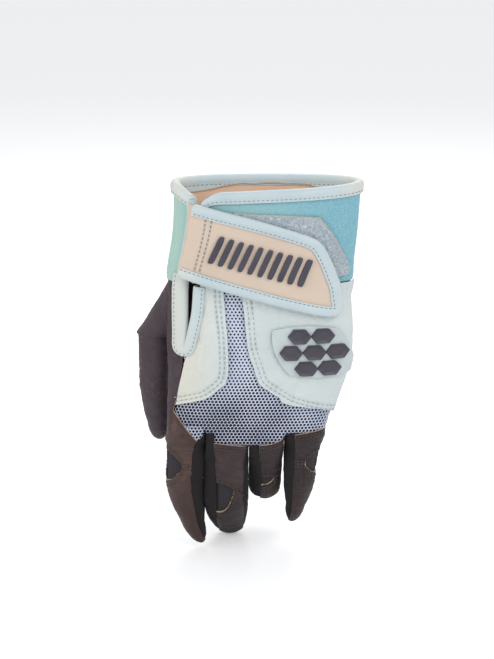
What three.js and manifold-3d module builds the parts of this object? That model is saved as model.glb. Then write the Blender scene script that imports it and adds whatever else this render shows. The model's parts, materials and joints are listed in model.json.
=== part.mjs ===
// A left-hand batting glove, back of the hand towards -Y, fingers pointing down.
// Millimetres, +Z up. The origin is the centre of the cuff's opening.
import * as THREE from "three";
import { mergeVertices } from "three/addons/utils/BufferGeometryUtils.js";
import Module from "manifold-3d";

const wasm = await Module();
wasm.setup();

// Driving sizes of the hand and cuff. Half sizes are those of the empty space inside the glove.
const cuffHalfWidth = 52;
const cuffHalfDepth = 14.5;
const handLength = 160; // rim of the cuff to the deepest finger base
const cuffDrop = 0.375 * handLength; // rim to the seam between cuff and leather
const bindingWidth = 6;
const seamGap = 0.4; // butted edges
const layerGap = 0.3; // stacked layers

// Thickness of each material.
const leatherWall = 1.2;
const liningWall = 0.8;
const meshWall = 1.1;
const neopreneWall = 2.5;
const loopWall = 1.2;
const hookWall = 1;
const strapWall = 1.3;
const tapeWall = 0.8;
const badgeWall = 0.8;
const badgeRise = 1;
const ribWall = 0.5;
const ribRise = 0.9;
const elasticWall = 0.9;

// Depths of the layers, measured outwards from the inside of the glove.
const shellFrom = liningWall + layerGap;
const meshTo = shellFrom + meshWall;
const palmTo = shellFrom + leatherWall;
const panelFrom = palmTo + 1.2 * layerGap;
const panelTo = panelFrom + leatherWall;
const cuffTo = shellFrom + neopreneWall;
const loopFrom = cuffTo + 1.2 * layerGap;
const hookFrom = loopFrom + loopWall + layerGap;
const strapFrom = hookFrom + hookWall + layerGap;
const strapTo = strapFrom + strapWall;

// Fingers. Places are shares of the cuff's half width and the hand's length. Half widths, at the
// root, the middle joint and near the tip, and leans are shares of a finger's half width. A rest
// angle is the bend in which the empty glove lies; a joint bends about the palm side of its ends.
const fingerHalfWidth = 0.2 * cuffHalfWidth;
const fingerHalfDepth = 8.5;
const fingerReach = 36;
const tipReach = 42;
const fingerGap = 0.3;
const sized = (finger) => ({
  ...finger,
  at: finger.atShare * cuffHalfWidth,
  drop: finger.dropShare * handLength,
  halfWidths: finger.widthShares.map((share) => share * fingerHalfWidth),
  lean: finger.leanShare * fingerHalfWidth,
  tipLean: finger.tipLeanShare * fingerHalfWidth,
});
const fingers = [
  {
    name: "index",
    atShare: -0.9115,
    dropShare: 0.93125,
    widthShares: [1.0865, 0.9808, 0.6923],
    reachShare: 0.83,
    tipShare: 1.15,
    bend: 4,
    curl: 13,
    leanShare: -0.2115,
    tipLeanShare: 1.0096,
    back: [-150, -62],
    side: "right",
  },
  {
    name: "middle",
    atShare: -0.4462,
    dropShare: 0.99375,
    widthShares: [1.1827, 1.1635, 0.9038],
    reachShare: 0.92,
    tipShare: 1.13,
    bend: 8,
    curl: 42,
    leanShare: 0.0192,
    tipLeanShare: 0.0962,
    back: [-124, -40],
    side: "both",
  },
  {
    name: "ring",
    atShare: -0.0077,
    dropShare: 0.99375,
    widthShares: [0.9615, 0.9231, 0.7308],
    reachShare: 0.78,
    tipShare: 1,
    bend: 28,
    curl: 48,
    leanShare: -0.0673,
    tipLeanShare: -0.0962,
    back: [-104, -16],
    side: "both",
  },
  {
    name: "pinky",
    atShare: 0.4154,
    dropShare: 0.95,
    widthShares: [1.0962, 0.9231, 0.5769],
    reachShare: 0.64,
    tipShare: 1,
    bend: 8,
    curl: 20,
    leanShare: -0.2019,
    tipLeanShare: -0.4038,
    back: [-112, -8],
    side: "left",
  },
].map(sized);

// Materials, one short maker for each finish in the photograph.
const finish = (color, roughness, metalness = 0) =>
  new THREE.MeshStandardMaterial({ color, roughness, metalness });
const darkLeather = finish(0x4a363a, 0.62);
const paleLeather = finish(0xcfdcd6, 0.55);
const trimLeather = finish(0xc3d3da, 0.55);
const strapFabric = finish(0xd9c3ac, 0.7);
const neoprene = finish(0x8fc4cb, 0.85);
const knit = finish(0x2a2524, 0.9);
const meshFabric = finish(0xdfe4f2, 0.8);
const backing = finish(0x2e2a30, 0.9);
const creamLining = finish(0xe9c7a8, 0.9);
const loopPile = finish(0xb3c6d6, 0.95);
const hookPlastic = finish(0xc9ced2, 0.6);
const darkRubber = finish(0x4b4852, 0.5);
const stretchInsert = finish(0x4a4446, 0.85);
const elastic = finish(0x3c3236, 0.9);

// Mixes and table reading.
const mix = THREE.MathUtils.lerp;
const radians = THREE.MathUtils.degToRad;
const clamp = THREE.MathUtils.clamp;

// Reads a table of rows [key, value, value...] at a key with a smooth curve through its rows.
function along(rows, key, column) {
  let i = rows.findIndex((row) => row[0] >= key);
  if (i === -1) i = rows.length - 1;
  i = Math.max(i, 1);
  const before = rows[i - 1];
  const after = rows[i];
  const t = clamp((key - before[0]) / (after[0] - before[0]), 0, 1);
  const slope = (j) => {
    const a = rows[Math.max(j - 1, 0)];
    const b = rows[Math.min(j + 1, rows.length - 1)];
    return (b[column] - a[column]) / (b[0] - a[0]);
  };
  const span = after[0] - before[0];
  const t2 = t * t;
  const t3 = t2 * t;
  return (
    (2 * t3 - 3 * t2 + 1) * before[column] +
    (t3 - 2 * t2 + t) * span * slope(i - 1) +
    (3 * t2 - 2 * t3) * after[column] +
    (t3 - t2) * span * slope(i)
  );
}

// Sections of the hand down its length: share of the length, centre, half width and half depth
// as shares of the cuff's, and how square the section is.
const sectionShares = [
  [-0.02, 0, 0.955, 1, 2.3],
  [0, 0, 0.955, 1, 2.3],
  [0.18, -0.02, 0.944, 0.97, 2.3],
  [0.33, -0.073, 0.96, 0.92, 2.4],
  [0.38, -0.085, 0.975, 0.9, 2.4],
  [0.44, -0.1, 0.963, 0.9, 2.4],
  [0.59, -0.092, 0.98, 0.94, 2.5],
  [0.72, -0.12, 0.95, 0.9, 2.7],
  [0.81, -0.17, 0.905, 0.8, 3.1],
  [0.91, -0.22, 0.86, 0.62, 3.9],
  [1.02, -0.246, 0.83, 0.47, 4.6],
];

function section(z) {
  const key = -z / handLength;
  return {
    middle: along(sectionShares, key, 1) * cuffHalfWidth,
    width: along(sectionShares, key, 2) * cuffHalfWidth,
    depth: along(sectionShares, key, 3) * cuffHalfDepth,
    power: 2 / along(sectionShares, key, 4),
  };
}

// A point of the hand: angle in degrees, 0 right, 90 palm, 180 left, -90 back of the hand.
function handPoint(angle, z, out) {
  const s = section(z);
  const c = Math.cos(radians(angle));
  const n = Math.sin(radians(angle));
  return new THREE.Vector3(
    s.middle + (s.width + out) * Math.sign(c) * Math.abs(c) ** s.power,
    (s.depth + out) * Math.sign(n) * Math.abs(n) ** s.power,
    z,
  );
}

// The angle at which the back of the hand has a share of its half width at a height.
function backAngle(share, z) {
  const power = section(z).power;
  const c = Math.sign(share) * Math.min(Math.abs(share), 1) ** (1 / power);
  return -THREE.MathUtils.radToDeg(Math.acos(c));
}

const backPoint = (share, down, out) =>
  handPoint(
    backAngle(share, -down * handLength),
    -down * handLength,
    out,
  );

const evenShares = (count) => Array.from({ length: count + 1 }, (_, i) => i / count);

// Solids from grids of points: p runs across, q along, and out is the depth.
function gridSolid(surface, stops, down, from, to, ring = false) {
  const shares = Array.isArray(stops) ? stops : evenShares(stops);
  const across = shares.length - 1;
  const columns = ring ? across : across + 1;
  const positions = [];
  for (const out of [to, from])
    for (let j = 0; j <= down; j += 1)
      for (let i = 0; i < columns; i += 1)
        positions.push(...surface(shares[i], j / down, out).toArray());
  const layer = columns * (down + 1);
  const id = (i, j, inner) => inner * layer + j * columns + (i % columns);
  const index = [];
  const quad = (a, b, c, d) => index.push(a, b, c, a, c, d);
  for (let j = 0; j < down; j += 1)
    for (let i = 0; i < across; i += 1) {
      quad(id(i, j, 0), id(i, j + 1, 0), id(i + 1, j + 1, 0), id(i + 1, j, 0));
      quad(id(i, j, 1), id(i + 1, j, 1), id(i + 1, j + 1, 1), id(i, j + 1, 1));
    }
  for (let i = 0; i < across; i += 1) {
    quad(id(i, 0, 0), id(i + 1, 0, 0), id(i + 1, 0, 1), id(i, 0, 1));
    quad(id(i, down, 0), id(i, down, 1), id(i + 1, down, 1), id(i + 1, down, 0));
  }
  if (!ring)
    for (let j = 0; j < down; j += 1) {
      quad(id(0, j, 0), id(0, j, 1), id(0, j + 1, 1), id(0, j + 1, 0));
      quad(
        id(across, j, 0),
        id(across, j + 1, 0),
        id(across, j + 1, 1),
        id(across, j, 1),
      );
    }
  return facingOut(positions, index);
}

// A solid swept along a path: ring(t, outline) places the outline's points at a step of it.
function sweptSolid(ring, steps, profile) {
  const flat = profile.map(([u, v]) => new THREE.Vector2(u, v));
  if (THREE.ShapeUtils.isClockWise(flat)) flat.reverse();
  const outline = flat.map((point) => point.toArray());
  const count = outline.length;
  const positions = [];
  for (let j = 0; j <= steps; j += 1)
    for (const point of ring(j / steps, outline)) positions.push(...point.toArray());
  const index = [];
  for (let j = 0; j < steps; j += 1)
    for (let i = 0; i < count; i += 1) {
      const k = (i + 1) % count;
      const a = j * count;
      const b = a + count;
      index.push(a + i, b + i, b + k, a + i, b + k, a + k);
    }
  for (const [a, b, c] of THREE.ShapeUtils.triangulateShape(flat, [])) {
    index.push(a, b, c);
    index.push(steps * count + a, steps * count + c, steps * count + b);
  }
  return facingOut(positions, index);
}

// Makes the geometry, turned inside out where its volume comes out negative.
function facingOut(positions, index) {
  const corner = (i) => new THREE.Vector3().fromArray(positions, index[i] * 3);
  let volume = 0;
  for (let i = 0; i < index.length; i += 3)
    volume += corner(i).dot(corner(i + 1).cross(corner(i + 2)));
  if (volume < 0)
    for (let i = 0; i < index.length; i += 3)
      [index[i + 1], index[i + 2]] = [index[i + 2], index[i + 1]];
  return new THREE.BufferGeometry()
    .setAttribute("position", new THREE.Float32BufferAttribute(positions, 3))
    .setIndex(index);
}

// Boolean work.
function solidOf(geometry) {
  const bare = geometry.clone();
  bare.deleteAttribute("normal");
  bare.deleteAttribute("uv");
  const merged = mergeVertices(bare, 1e-4);
  return new wasm.Manifold(
    new wasm.Mesh({
      numProp: 3,
      vertProperties: merged.attributes.position.array,
      triVerts: new Uint32Array(merged.index.array),
    }),
  );
}

function geometryOf(solid) {
  const made = solid.getMesh();
  return new THREE.BufferGeometry()
    .setAttribute("position", new THREE.BufferAttribute(made.vertProperties, 3))
    .setIndex(new THREE.BufferAttribute(made.triVerts, 1));
}

// A patch of four sides, each a table of [share, down] rows, blended across the middle.
function sideOf(rows, t) {
  const curve = new THREE.SplineCurve(rows.map(([u, v]) => new THREE.Vector2(u, v)));
  return curve.getPoint(t);
}

function fourSided({ top, bottom, left, right }) {
  const corners = [top[0], top[top.length - 1], bottom[0], bottom[bottom.length - 1]];
  return (p, q) => {
    const [a, b] = [sideOf(top, p), sideOf(bottom, p)];
    const [c, d] = [sideOf(left, q), sideOf(right, q)];
    const blend = (k, name) =>
      mix(a[name], b[name], q) +
      mix(c[name], d[name], p) -
      mix(mix(corners[0][k], corners[1][k], p), mix(corners[2][k], corners[3][k], p), q);
    return [blend(0, "x"), blend(1, "y")];
  };
}

const asAngles = (rows) => rows.map(([share, down]) => [backAngle(share, -down * handLength), down]);
function backPanel(sides, across, down, from, to) {
  const place = fourSided({
    top: asAngles(sides.top),
    bottom: asAngles(sides.bottom),
    left: asAngles(sides.left),
    right: asAngles(sides.right),
  });
  const spot = (angle, low, out) => handPoint(angle, -low * handLength, out);
  return gridSolid(
    (p, q, out) => spot(...place(p, q), out),
    across,
    down,
    from,
    to,
  );
}

const glove = new THREE.Group();
function add(name, geometry, material, parent = glove) {
  const mesh = new THREE.Mesh(geometry, material);
  mesh.name = name;
  parent.add(mesh);
  return mesh;
}

// The lower edge of the hand: level above each finger, with a step between two fingers.
const stepHalf = 0.2;
const borders = fingers.slice(1).map((finger, i) => {
  const before = fingers[i];
  return (before.at + before.halfWidths[0] + finger.at - finger.halfWidths[0]) / 2;
});
function handEnd(x) {
  let level = -fingers[0].drop;
  borders.forEach((border, i) => {
    const t = clamp((x - border + stepHalf) / (2 * stepHalf), 0, 1);
    level = mix(level, -fingers[i + 1].drop, t);
  });
  return level;
}
const endAt = (angle) => handEnd(handPoint(angle, -handLength, shellFrom).x);

// Shares across a part of the hand, with a column at each side of every step.
function steppedShares(from, to, count, side) {
  const s = section(-handLength);
  const marks = borders
    .flatMap((border) => [border - stepHalf, border + stepHalf])
    .map((x) => {
      const share = (x - s.middle) / (s.width + shellFrom);
      const c = Math.sign(share) * Math.abs(share) ** (1 / s.power);
      return (side * THREE.MathUtils.radToDeg(Math.acos(c)) - from) / (to - from);
    });
  const even = evenShares(count).filter((p) => marks.every((m) => Math.abs(m - p) > 0.25 / count));
  return [...even, ...marks].sort((a, b) => a - b);
}

// Edges on the back of the hand as [share of half width, share of the hand's length].
const stripEdgeShares = [
  [0.34, -0.83],
  [0.45, -0.825],
  [0.6, -0.82],
  [0.66, -0.835],
  [0.76, -0.87],
  [0.83, -0.905],
  [0.9, -0.96],
  [1.01, -0.99],
];
const panelEdgeShares = [
  [0.34, -0.64],
  [0.45, -0.64],
  [0.52, -0.66],
  [0.56, -0.7],
  [0.61, -0.768],
  [0.66, -0.81],
  [0.76, -0.85],
  [0.83, -0.885],
  [0.9, -0.94],
  [1.01, -0.965],
];
const rightSeamAngle = 4;

// The palm leather runs from the right seam round the palm and the thumb side to the strip
// that shows beside the vent.
const cuffEnd = -cuffDrop - seamGap;
const edgeAngle = (rows, z) => backAngle(along(rows, -z / handLength, 1), z);
function palmSurface(p, q, out) {
  const bottomAngle = mix(rightSeamAngle, 360 + edgeAngle(stripEdgeShares, -handLength), p);
  const z = mix(cuffEnd, endAt(bottomAngle), q);
  return handPoint(mix(rightSeamAngle, 360 + edgeAngle(stripEdgeShares, z), p), z, out);
}
const palmShares = steppedShares(
  rightSeamAngle,
  360 + edgeAngle(stripEdgeShares, -handLength),
  26,
  1,
);
const palmSolid = solidOf(gridSolid(palmSurface, palmShares, 9, shellFrom, palmTo));

// The back of the hand: a knit mesh over a dark backing, both open at the vent.
const backSeam = rightSeamAngle - 360 * (seamGap / cuffHalfWidth / 6);
function backSurface(p, q, out) {
  const bottomAngle = mix(edgeAngle(panelEdgeShares, -handLength), backSeam, p);
  const z = mix(cuffEnd, endAt(bottomAngle), q);
  return handPoint(mix(edgeAngle(panelEdgeShares, z), backSeam, p), z, out);
}
const backShares = steppedShares(
  edgeAngle(panelEdgeShares, -handLength),
  backSeam,
  24,
  -1,
);
add(
  "back_mesh",
  gridSolid(backSurface, backShares, 9, shellFrom, meshTo),
  meshFabric,
);
add(
  "back_lining",
  gridSolid(backSurface, backShares, 9, 0, liningWall),
  backing,
);

// Leather panels sewn over the mesh.
const panelTopShare = 0.383;
const thumbPanelSides = {
  top: [
    [-0.62, panelTopShare],
    [-0.38, panelTopShare],
  ],
  bottom: [
    [-0.87, 0.83],
    [-0.66, 0.813],
    [-0.5, 0.795],
    [-0.33, 0.742],
  ],
  left: [
    [-0.62, panelTopShare],
    [-0.625, 0.49],
    [-0.685, 0.575],
    [-0.785, 0.665],
    [-0.87, 0.83],
  ],
  right: [
    [-0.38, panelTopShare],
    [-0.35, 0.491],
    [-0.32, 0.62],
    [-0.31, 0.7],
    [-0.33, 0.742],
  ],
};
const pinkyPanelSides = {
  top: [
    [-0.19, panelTopShare],
    [1, panelTopShare],
  ],
  bottom: [
    [0.03, 0.742],
    [0.1, 0.765],
    [0.29, 0.797],
    [0.52, 0.825],
    [1, 0.855],
  ],
  left: [
    [-0.19, panelTopShare],
    [-0.15, 0.476],
    [-0.12, 0.6],
    [-0.04, 0.686],
    [0.03, 0.742],
  ],
  right: [
    [1, panelTopShare],
    [1, 0.62],
    [1, 0.855],
  ],
};
add(
  "thumb_side_panel",
  backPanel(thumbPanelSides, 7, 8, panelFrom, panelTo),
  paleLeather,
);
add(
  "pinky_side_panel",
  backPanel(pinkyPanelSides, 16, 8, panelFrom, panelTo),
  paleLeather,
);

// A moulded guard of six-sided cells on the pinky-side panel.
const cellRadius = 6.2;
const cellPitch = 12;
const guardMiddleShares = [0.57, 0.622];
const guardFrom = panelTo + 2.6 * layerGap;
const guardHalfWidth = 20;
const guardHalfHeight = 15.5;
const guardMiddle = backPoint(...guardMiddleShares, 0);
const onBack = (x, z, out) => {
  const s = section(z);
  return backPoint((x - s.middle) / s.width, -z / handLength, out);
};
const guardSlant = 0.28;
function guardSurface(p, q, out) {
  const turn = mix(-1, 1, p);
  const rise = mix(-1, 1, q);
  const squeeze = Math.sqrt(1 - 0.28 * rise * rise);
  const drop = Math.sqrt(1 - 0.28 * turn * turn);
  return onBack(
    guardMiddle.x + guardHalfWidth * turn * squeeze - guardSlant * guardHalfHeight * rise,
    guardMiddle.z + guardHalfHeight * rise * drop,
    out,
  );
}
function guardCell(column, row) {
  const x =
    guardMiddle.x + (column + (row % 2 ? 0.5 : 0)) * cellPitch - row * guardSlant * cellPitch * 0.5;
  const z = guardMiddle.z + row * cellPitch * 0.8;
  const around = 6;
  return gridSolid(
    (p, q, out) => {
      const turn = radians(360 * p + 30);
      const reach = cellRadius * mix(0.55, 1, q) * 0.92;
      return onBack(x + reach * Math.cos(turn), z + reach * Math.sin(turn) * 0.8, out);
    },
    around,
    1,
    guardFrom + badgeWall * 0.8,
    guardFrom + badgeWall + badgeRise,
    true,
  );
}
let guard = solidOf(gridSolid(guardSurface, 12, 5, guardFrom, guardFrom + badgeWall));
for (const [column, row] of [
  [-1, 0],
  [0, 0],
  [1, 0],
  [-1, 1],
  [0, 1],
  [-1, -1],
  [0, -1],
])
  guard = guard.add(solidOf(guardCell(column, row)));
add("knuckle_guard", geometryOf(guard), darkRubber);

// The neoprene cuff: a back piece and a palm piece, joined at the right side, open at the slit.
const cuffTopZ = -layerGap;
const slitBackShares = [
  [0, -0.62],
  [0.1, -0.68],
  [0.376, -0.7],
];
const slitPalmShares = [
  [0, -0.87],
  [0.1, -0.8],
  [0.2, -0.815],
  [0.376, -0.84],
];
const slitBack = (z) => edgeAngle(slitBackShares, z);
const slitPalm = (z) => 360 + edgeAngle(slitPalmShares, z);
function cuffPatch(fromAngle, toAngle, top, bottom, turns, rows, from, to) {
  return gridSolid(
    (p, q, out) => {
      const z = mix(top(p), bottom, q);
      return handPoint(mix(fromAngle(z), toAngle(z), p), z, out);
    },
    turns,
    rows,
    from,
    to,
  );
}
const steady = (value) => () => value;
const backTurns = 16;
const palmTurns = 22;
const cuffTurns = backTurns + palmTurns;
// How far the rim dips below the cuff's top, as a share of the hand's length, from the slit's back
// edge round to its palm edge.
const rimDipShares = [
  [0, 0.075],
  [0.026, 0.051],
  [0.08, 0.043],
  [0.16, 0.035],
  [0.28, 0.026],
  [0.42, 0.019],
  [0.8, 0.019],
  [0.9, 0.021],
  [0.95, 0.03],
  [1, 0.062],
];
const rimDip = (t) => along(rimDipShares, t, 1) * handLength;
const backTop = (p) => cuffTopZ - rimDip((p * backTurns) / cuffTurns);
const palmTop = (p) => cuffTopZ - rimDip((backTurns + p * palmTurns) / cuffTurns);
function wrapAngle(t, z) {
  const turn = t * cuffTurns;
  return turn < backTurns
    ? mix(slitBack(z), rightSeamAngle, turn / backTurns)
    : mix(rightSeamAngle, slitPalm(z), (turn - backTurns) / palmTurns);
}
add(
  "back_cuff",
  cuffPatch(slitBack, steady(backSeam), backTop, -cuffDrop, backTurns, 5, shellFrom, cuffTo),
  neoprene,
);
add(
  "palm_cuff",
  cuffPatch(steady(rightSeamAngle), slitPalm, palmTop, -cuffDrop, palmTurns, 5, shellFrom, cuffTo),
  neoprene,
);
const liningInset = 2;
const liningFrom = -0.3;
add(
  "cuff_lining",
  gridSolid(
    (p, q, out) => {
      const z = mix(-bindingWidth - layerGap - rimDip(p), -cuffDrop + liningInset, q);
      return handPoint(wrapAngle(p, z), z, out);
    },
    cuffTurns,
    5,
    liningFrom,
    liningFrom + liningWall,
  ),
  creamLining,
);

// Leather tape folded over the rim: outer flap, top and inner flap as one channel.
const tapeOut = cuffTo + 2 * layerGap;
const channel = (outside, inside, height, wall) => [
  [outside + wall, -height],
  [outside + wall, 0],
  [outside, wall],
  [inside, wall],
  [inside - wall, 0],
  [inside - wall, -height],
  [inside, -height],
  [inside, 0],
  [outside, 0],
  [outside, -height],
];
const rimChannel = channel(tapeOut, shellFrom - 2 * layerGap, bindingWidth, tapeWall);
add(
  "rim_binding",
  sweptSolid(
    (t, outline) =>
      outline.map(([out, down]) => {
        const z = down - rimDip(t);
        return handPoint(wrapAngle(t, z), z, out);
      }),
    cuffTurns,
    rimChannel,
  ),
  trimLeather,
);

// Elastic that gathers the palm side of the wrist, sewn inside the leather's top edge.
const elasticWidth = 7;
const elasticAngles = [40, 140].map(steady);
add(
  "wrist_elastic",
  cuffPatch(
    ...elasticAngles,
    steady(cuffEnd),
    cuffEnd - elasticWidth,
    10,
    1,
    liningWall - elasticWall,
    liningWall,
  ),
  elastic,
);

// Tape round the vent slot: it caps the raw edges and lies on the leather.
const ventPathShares = [
  [-0.815, 0.345],
  [-0.815, 0.45],
  [-0.81, 0.56],
  [-0.796, 0.61],
  [-0.778, 0.602],
  [-0.738, 0.56],
  [-0.688, 0.48],
  [-0.67, 0.383],
];
const ventTapeWidth = 5.4;
const ventTapeLip = 0.9;
function ventPath(t) {
  const flat = (u) => {
    const point = sideOf(ventPathShares, clamp(u, 0, 1));
    return backPoint(point.x, point.y, 0);
  };
  const here = flat(t);
  const ahead = flat(t + 0.01).sub(flat(t - 0.01));
  const sideways = new THREE.Vector2(-ahead.z, ahead.x).normalize();
  return { here, sideways };
}
const ventTop = panelTo + layerGap;
const ventProfile = [
  [0, ventTop],
  [ventTapeWidth, ventTop],
  [ventTapeWidth, ventTop + tapeWall],
  [-ventTapeLip, ventTop + tapeWall],
  [-ventTapeLip, shellFrom],
  [-layerGap, shellFrom],
  [-layerGap, ventTop],
];
add(
  "vent_binding",
  sweptSolid(
    (t, outline) => {
      const { here, sideways } = ventPath(t);
      return outline.map(([w, out]) =>
        onBack(here.x - sideways.x * w, here.z - sideways.y * w, out),
      );
    },
    22,
    ventProfile,
  ),
  trimLeather,
);

// The loop patch on the back cuff.
const loopSides = {
  top: [
    [-0.34, 0.112],
    [0.1, 0.12],
    [0.56, 0.13],
  ],
  bottom: [
    [-0.34, 0.352],
    [0.2, 0.352],
    [0.81, 0.352],
  ],
  left: [
    [-0.34, 0.112],
    [-0.34, 0.24],
    [-0.34, 0.352],
  ],
  right: [
    [0.56, 0.13],
    [0.82, 0.25],
    [0.93, 0.335],
    [0.81, 0.352],
  ],
};
add(
  "loop_patch",
  backPanel(loopSides, 14, 4, loopFrom, loopFrom + loopWall),
  loopPile,
);

// The strap, closed over the slit. It turns about its sewn end at the left. Its edge runs from
// the top of that end, round the free end, to the bottom.
const strapPathShares = [
  [-0.76, 0.087],
  [-0.5, 0.108],
  [-0.14, 0.138],
  [0.22, 0.175],
  [0.46, 0.205],
  [0.57, 0.235],
  [0.7, 0.315],
  [0.79, 0.405],
  [0.82, 0.455],
  [0.77, 0.484],
  [0.62, 0.481],
  [0.3, 0.453],
  [-0.06, 0.417],
  [-0.43, 0.38],
  [-0.8, 0.343],
];
const strapCurve = new THREE.SplineCurve(
  strapPathShares.map(
    ([share, down]) => new THREE.Vector2(share * cuffHalfWidth, down * handLength),
  ),
);
const strapTurn = 0.545; // share of the edge up to the free end
const strapAt = (t) => {
  const { x, y } = strapCurve.getPointAt(clamp(t, 0, 1));
  return new THREE.Vector2(backAngle(x / cuffHalfWidth, -y), y);
};
function onStrap(p, q, out) {
  const spot = strapAt(p * strapTurn).lerp(strapAt(1 - p * (1 - strapTurn)), q);
  return handPoint(spot.x, -spot.y, out);
}
// A point of the strap by its share across the hand and its rise from the strap's middle line.
const strapSlopeShare = 0.094;
const strapMiddleShare = 0.286;
const onStrapBand = (share, rise, out) =>
  backPoint(share, strapMiddleShare + strapSlopeShare * share - rise, out);
const strap = new THREE.Group();
glove.add(strap);
const strapFaceEnd = 0.97;
add(
  "strap_face",
  gridSolid((p, q, out) => onStrap(p * strapFaceEnd, q, out), 18, 5, strapFrom, strapTo),
  strapFabric,
  strap,
);
const hookBandShares = [-0.15, 0.5];
const hookRiseShare = 0.08;
add(
  "hook_patch",
  gridSolid(
    (p, q, out) =>
      onStrapBand(mix(...hookBandShares, p), mix(hookRiseShare, -hookRiseShare, q), out),
    10,
    3,
    hookFrom,
    hookFrom + hookWall,
  ),
  hookPlastic,
  strap,
);
const strapTapeWidth = 5.2;
function strapPath(t) {
  const flat = (u) => {
    const spot = strapAt(u);
    return handPoint(spot.x, -spot.y, 0);
  };
  const here = flat(t);
  const ahead = flat(Math.min(t + 0.01, 1)).sub(flat(Math.max(t - 0.01, 0)));
  return { here, sideways: new THREE.Vector2(-ahead.z, ahead.x).normalize() };
}
const strapTapeProfile = [
  [strapTapeWidth, strapTo + layerGap],
  [strapTapeWidth, strapTo + layerGap + tapeWall],
  [-layerGap - tapeWall, strapTo + layerGap + tapeWall],
  [-layerGap - tapeWall, hookFrom],
  [strapTapeWidth / 2, hookFrom],
  [strapTapeWidth / 2, hookFrom + tapeWall],
  [-seamGap, hookFrom + tapeWall],
  [-seamGap, strapTo + layerGap],
];
add(
  "strap_binding",
  sweptSolid(
    (t, outline) => {
      const { here, sideways } = strapPath(t);
      return outline.map(([w, out]) =>
        onBack(here.x - sideways.x * w, here.z - sideways.y * w, out),
      );
    },
    52,
    strapTapeProfile,
  ),
  trimLeather,
  strap,
);

// The line that the strap turns about, along its sewn end and under it.
const strapHingeShares = [
  [-0.785, 0.087],
  [-0.825, 0.343],
];
const strapHinge = strapHingeShares.map(([share, down]) => backPoint(share, down, hookFrom));

// Raised slanting ribs on the strap, for the fingers that pull it.
const ribFrom = strapTo + layerGap;
const ribCount = 7;
const ribWidthShare = 0.5;
const ribBandShares = [-0.52, 0.46];
const ribRiseShare = 0.06;
const ribSlantShare = 0.35;
let ribs = solidOf(
  gridSolid(
    (p, q, out) => onStrapBand(mix(...ribBandShares, p), ribRiseShare * (1 - 2 * q), out),
    ribCount * 2,
    1,
    ribFrom,
    ribFrom + ribWall,
  ),
);
for (let i = 0; i < ribCount; i += 1)
  ribs = ribs.add(
    solidOf(
      gridSolid(
        (p, q, out) => {
          const start = i + (1 - ribWidthShare) / 2 + ribWidthShare * p;
          const slant = (0.5 - q) * ribSlantShare;
          return onStrapBand(
            mix(...ribBandShares, (start + slant) / ribCount),
            ribRiseShare * mix(0.9, -0.9, q),
            out,
          );
        },
        1,
        1,
        ribFrom + ribWall / 2,
        ribFrom + ribWall + ribRise,
      ),
    ),
  );
add("strap_ribs", geometryOf(ribs), darkRubber, strap);

// One segment of a finger, in the frame of its joint: the joint's axis is X at the palm side,
// the finger points to -Z and its back to -Y. The angle is as on the hand.
const tipCapShare = 0.62;
const tipDepthShare = 0.84;
function segmentPoint(finger, isTip, angle, q, out) {
  const [root, joint, end] = finger.halfWidths;
  const reach = isTip ? finger.tipShare * tipReach : finger.reachShare * fingerReach;
  const lean = isTip ? finger.tipLean : finger.lean;
  const c = Math.cos(radians(angle));
  const n = Math.sin(radians(angle));
  const insideDepth = fingerHalfDepth - leatherWall;
  if (!isTip) {
    const down = mix(fingerGap, reach - fingerGap / 2, q);
    return new THREE.Vector3(
      (mix(root, joint, q) - leatherWall + out) * c + lean * q,
      (insideDepth + out) * n - fingerHalfDepth,
      -down,
    );
  }
  const body = Math.min(q / tipCapShare, 1);
  const turn = radians(84 * clamp((q - tipCapShare) / (1 - tipCapShare), 0, 1));
  const capReach = reach * (1 - tipCapShare) - leatherWall + out;
  const down = mix(fingerGap / 2, reach * tipCapShare, body) + capReach * Math.sin(turn);
  const along2 = (down / reach) ** 1.6;
  const slim = Math.cos(turn);
  return new THREE.Vector3(
    (mix(joint, end, body * body) - leatherWall + out) * slim * c + lean * along2,
    (insideDepth * mix(1, tipDepthShare, body * body) + out) * slim * n - fingerHalfDepth,
    -down,
  );
}

// A strip of a segment's wall between two angles, with half a seam's gap at each edge.
function segmentStrip(finger, isTip, fromAngle, toAngle, turns) {
  const edge = THREE.MathUtils.radToDeg(seamGap / fingerHalfDepth) * 0.62;
  return gridSolid(
    (p, q, out) =>
      segmentPoint(finger, isTip, mix(fromAngle + edge, toAngle - edge, p), q, out),
    turns,
    isTip ? 7 : 3,
    0,
    leatherWall,
  );
}

const palmEdgeAngle = 24;
function addSegment(finger, isTip, parent) {
  const tag = isTip ? "lower" : "upper";
  const [backFrom, backTo] = finger.back;
  const right = finger.side !== "left";
  const left = finger.side !== "right";
  const palmFrom = right ? palmEdgeAngle : backTo;
  const palmUntil = left ? 180 - palmEdgeAngle : 360 + backFrom;
  const part = (piece) => finger.name + "_" + piece + "_" + tag;
  add(part("back"), segmentStrip(finger, isTip, backFrom, backTo, 5), darkLeather, parent);
  add(part("palm"), segmentStrip(finger, isTip, palmFrom, palmUntil, 7), darkLeather, parent);
  if (right)
    add(
      part(left ? "outer_fork" : "fork"),
      segmentStrip(finger, isTip, backTo, palmEdgeAngle, 4),
      knit,
      parent,
    );
  if (left)
    add(
      part(right ? "inner_fork" : "fork"),
      segmentStrip(finger, isTip, 180 - palmEdgeAngle, 360 + backFrom, 4),
      knit,
      parent,
    );
}

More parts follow.
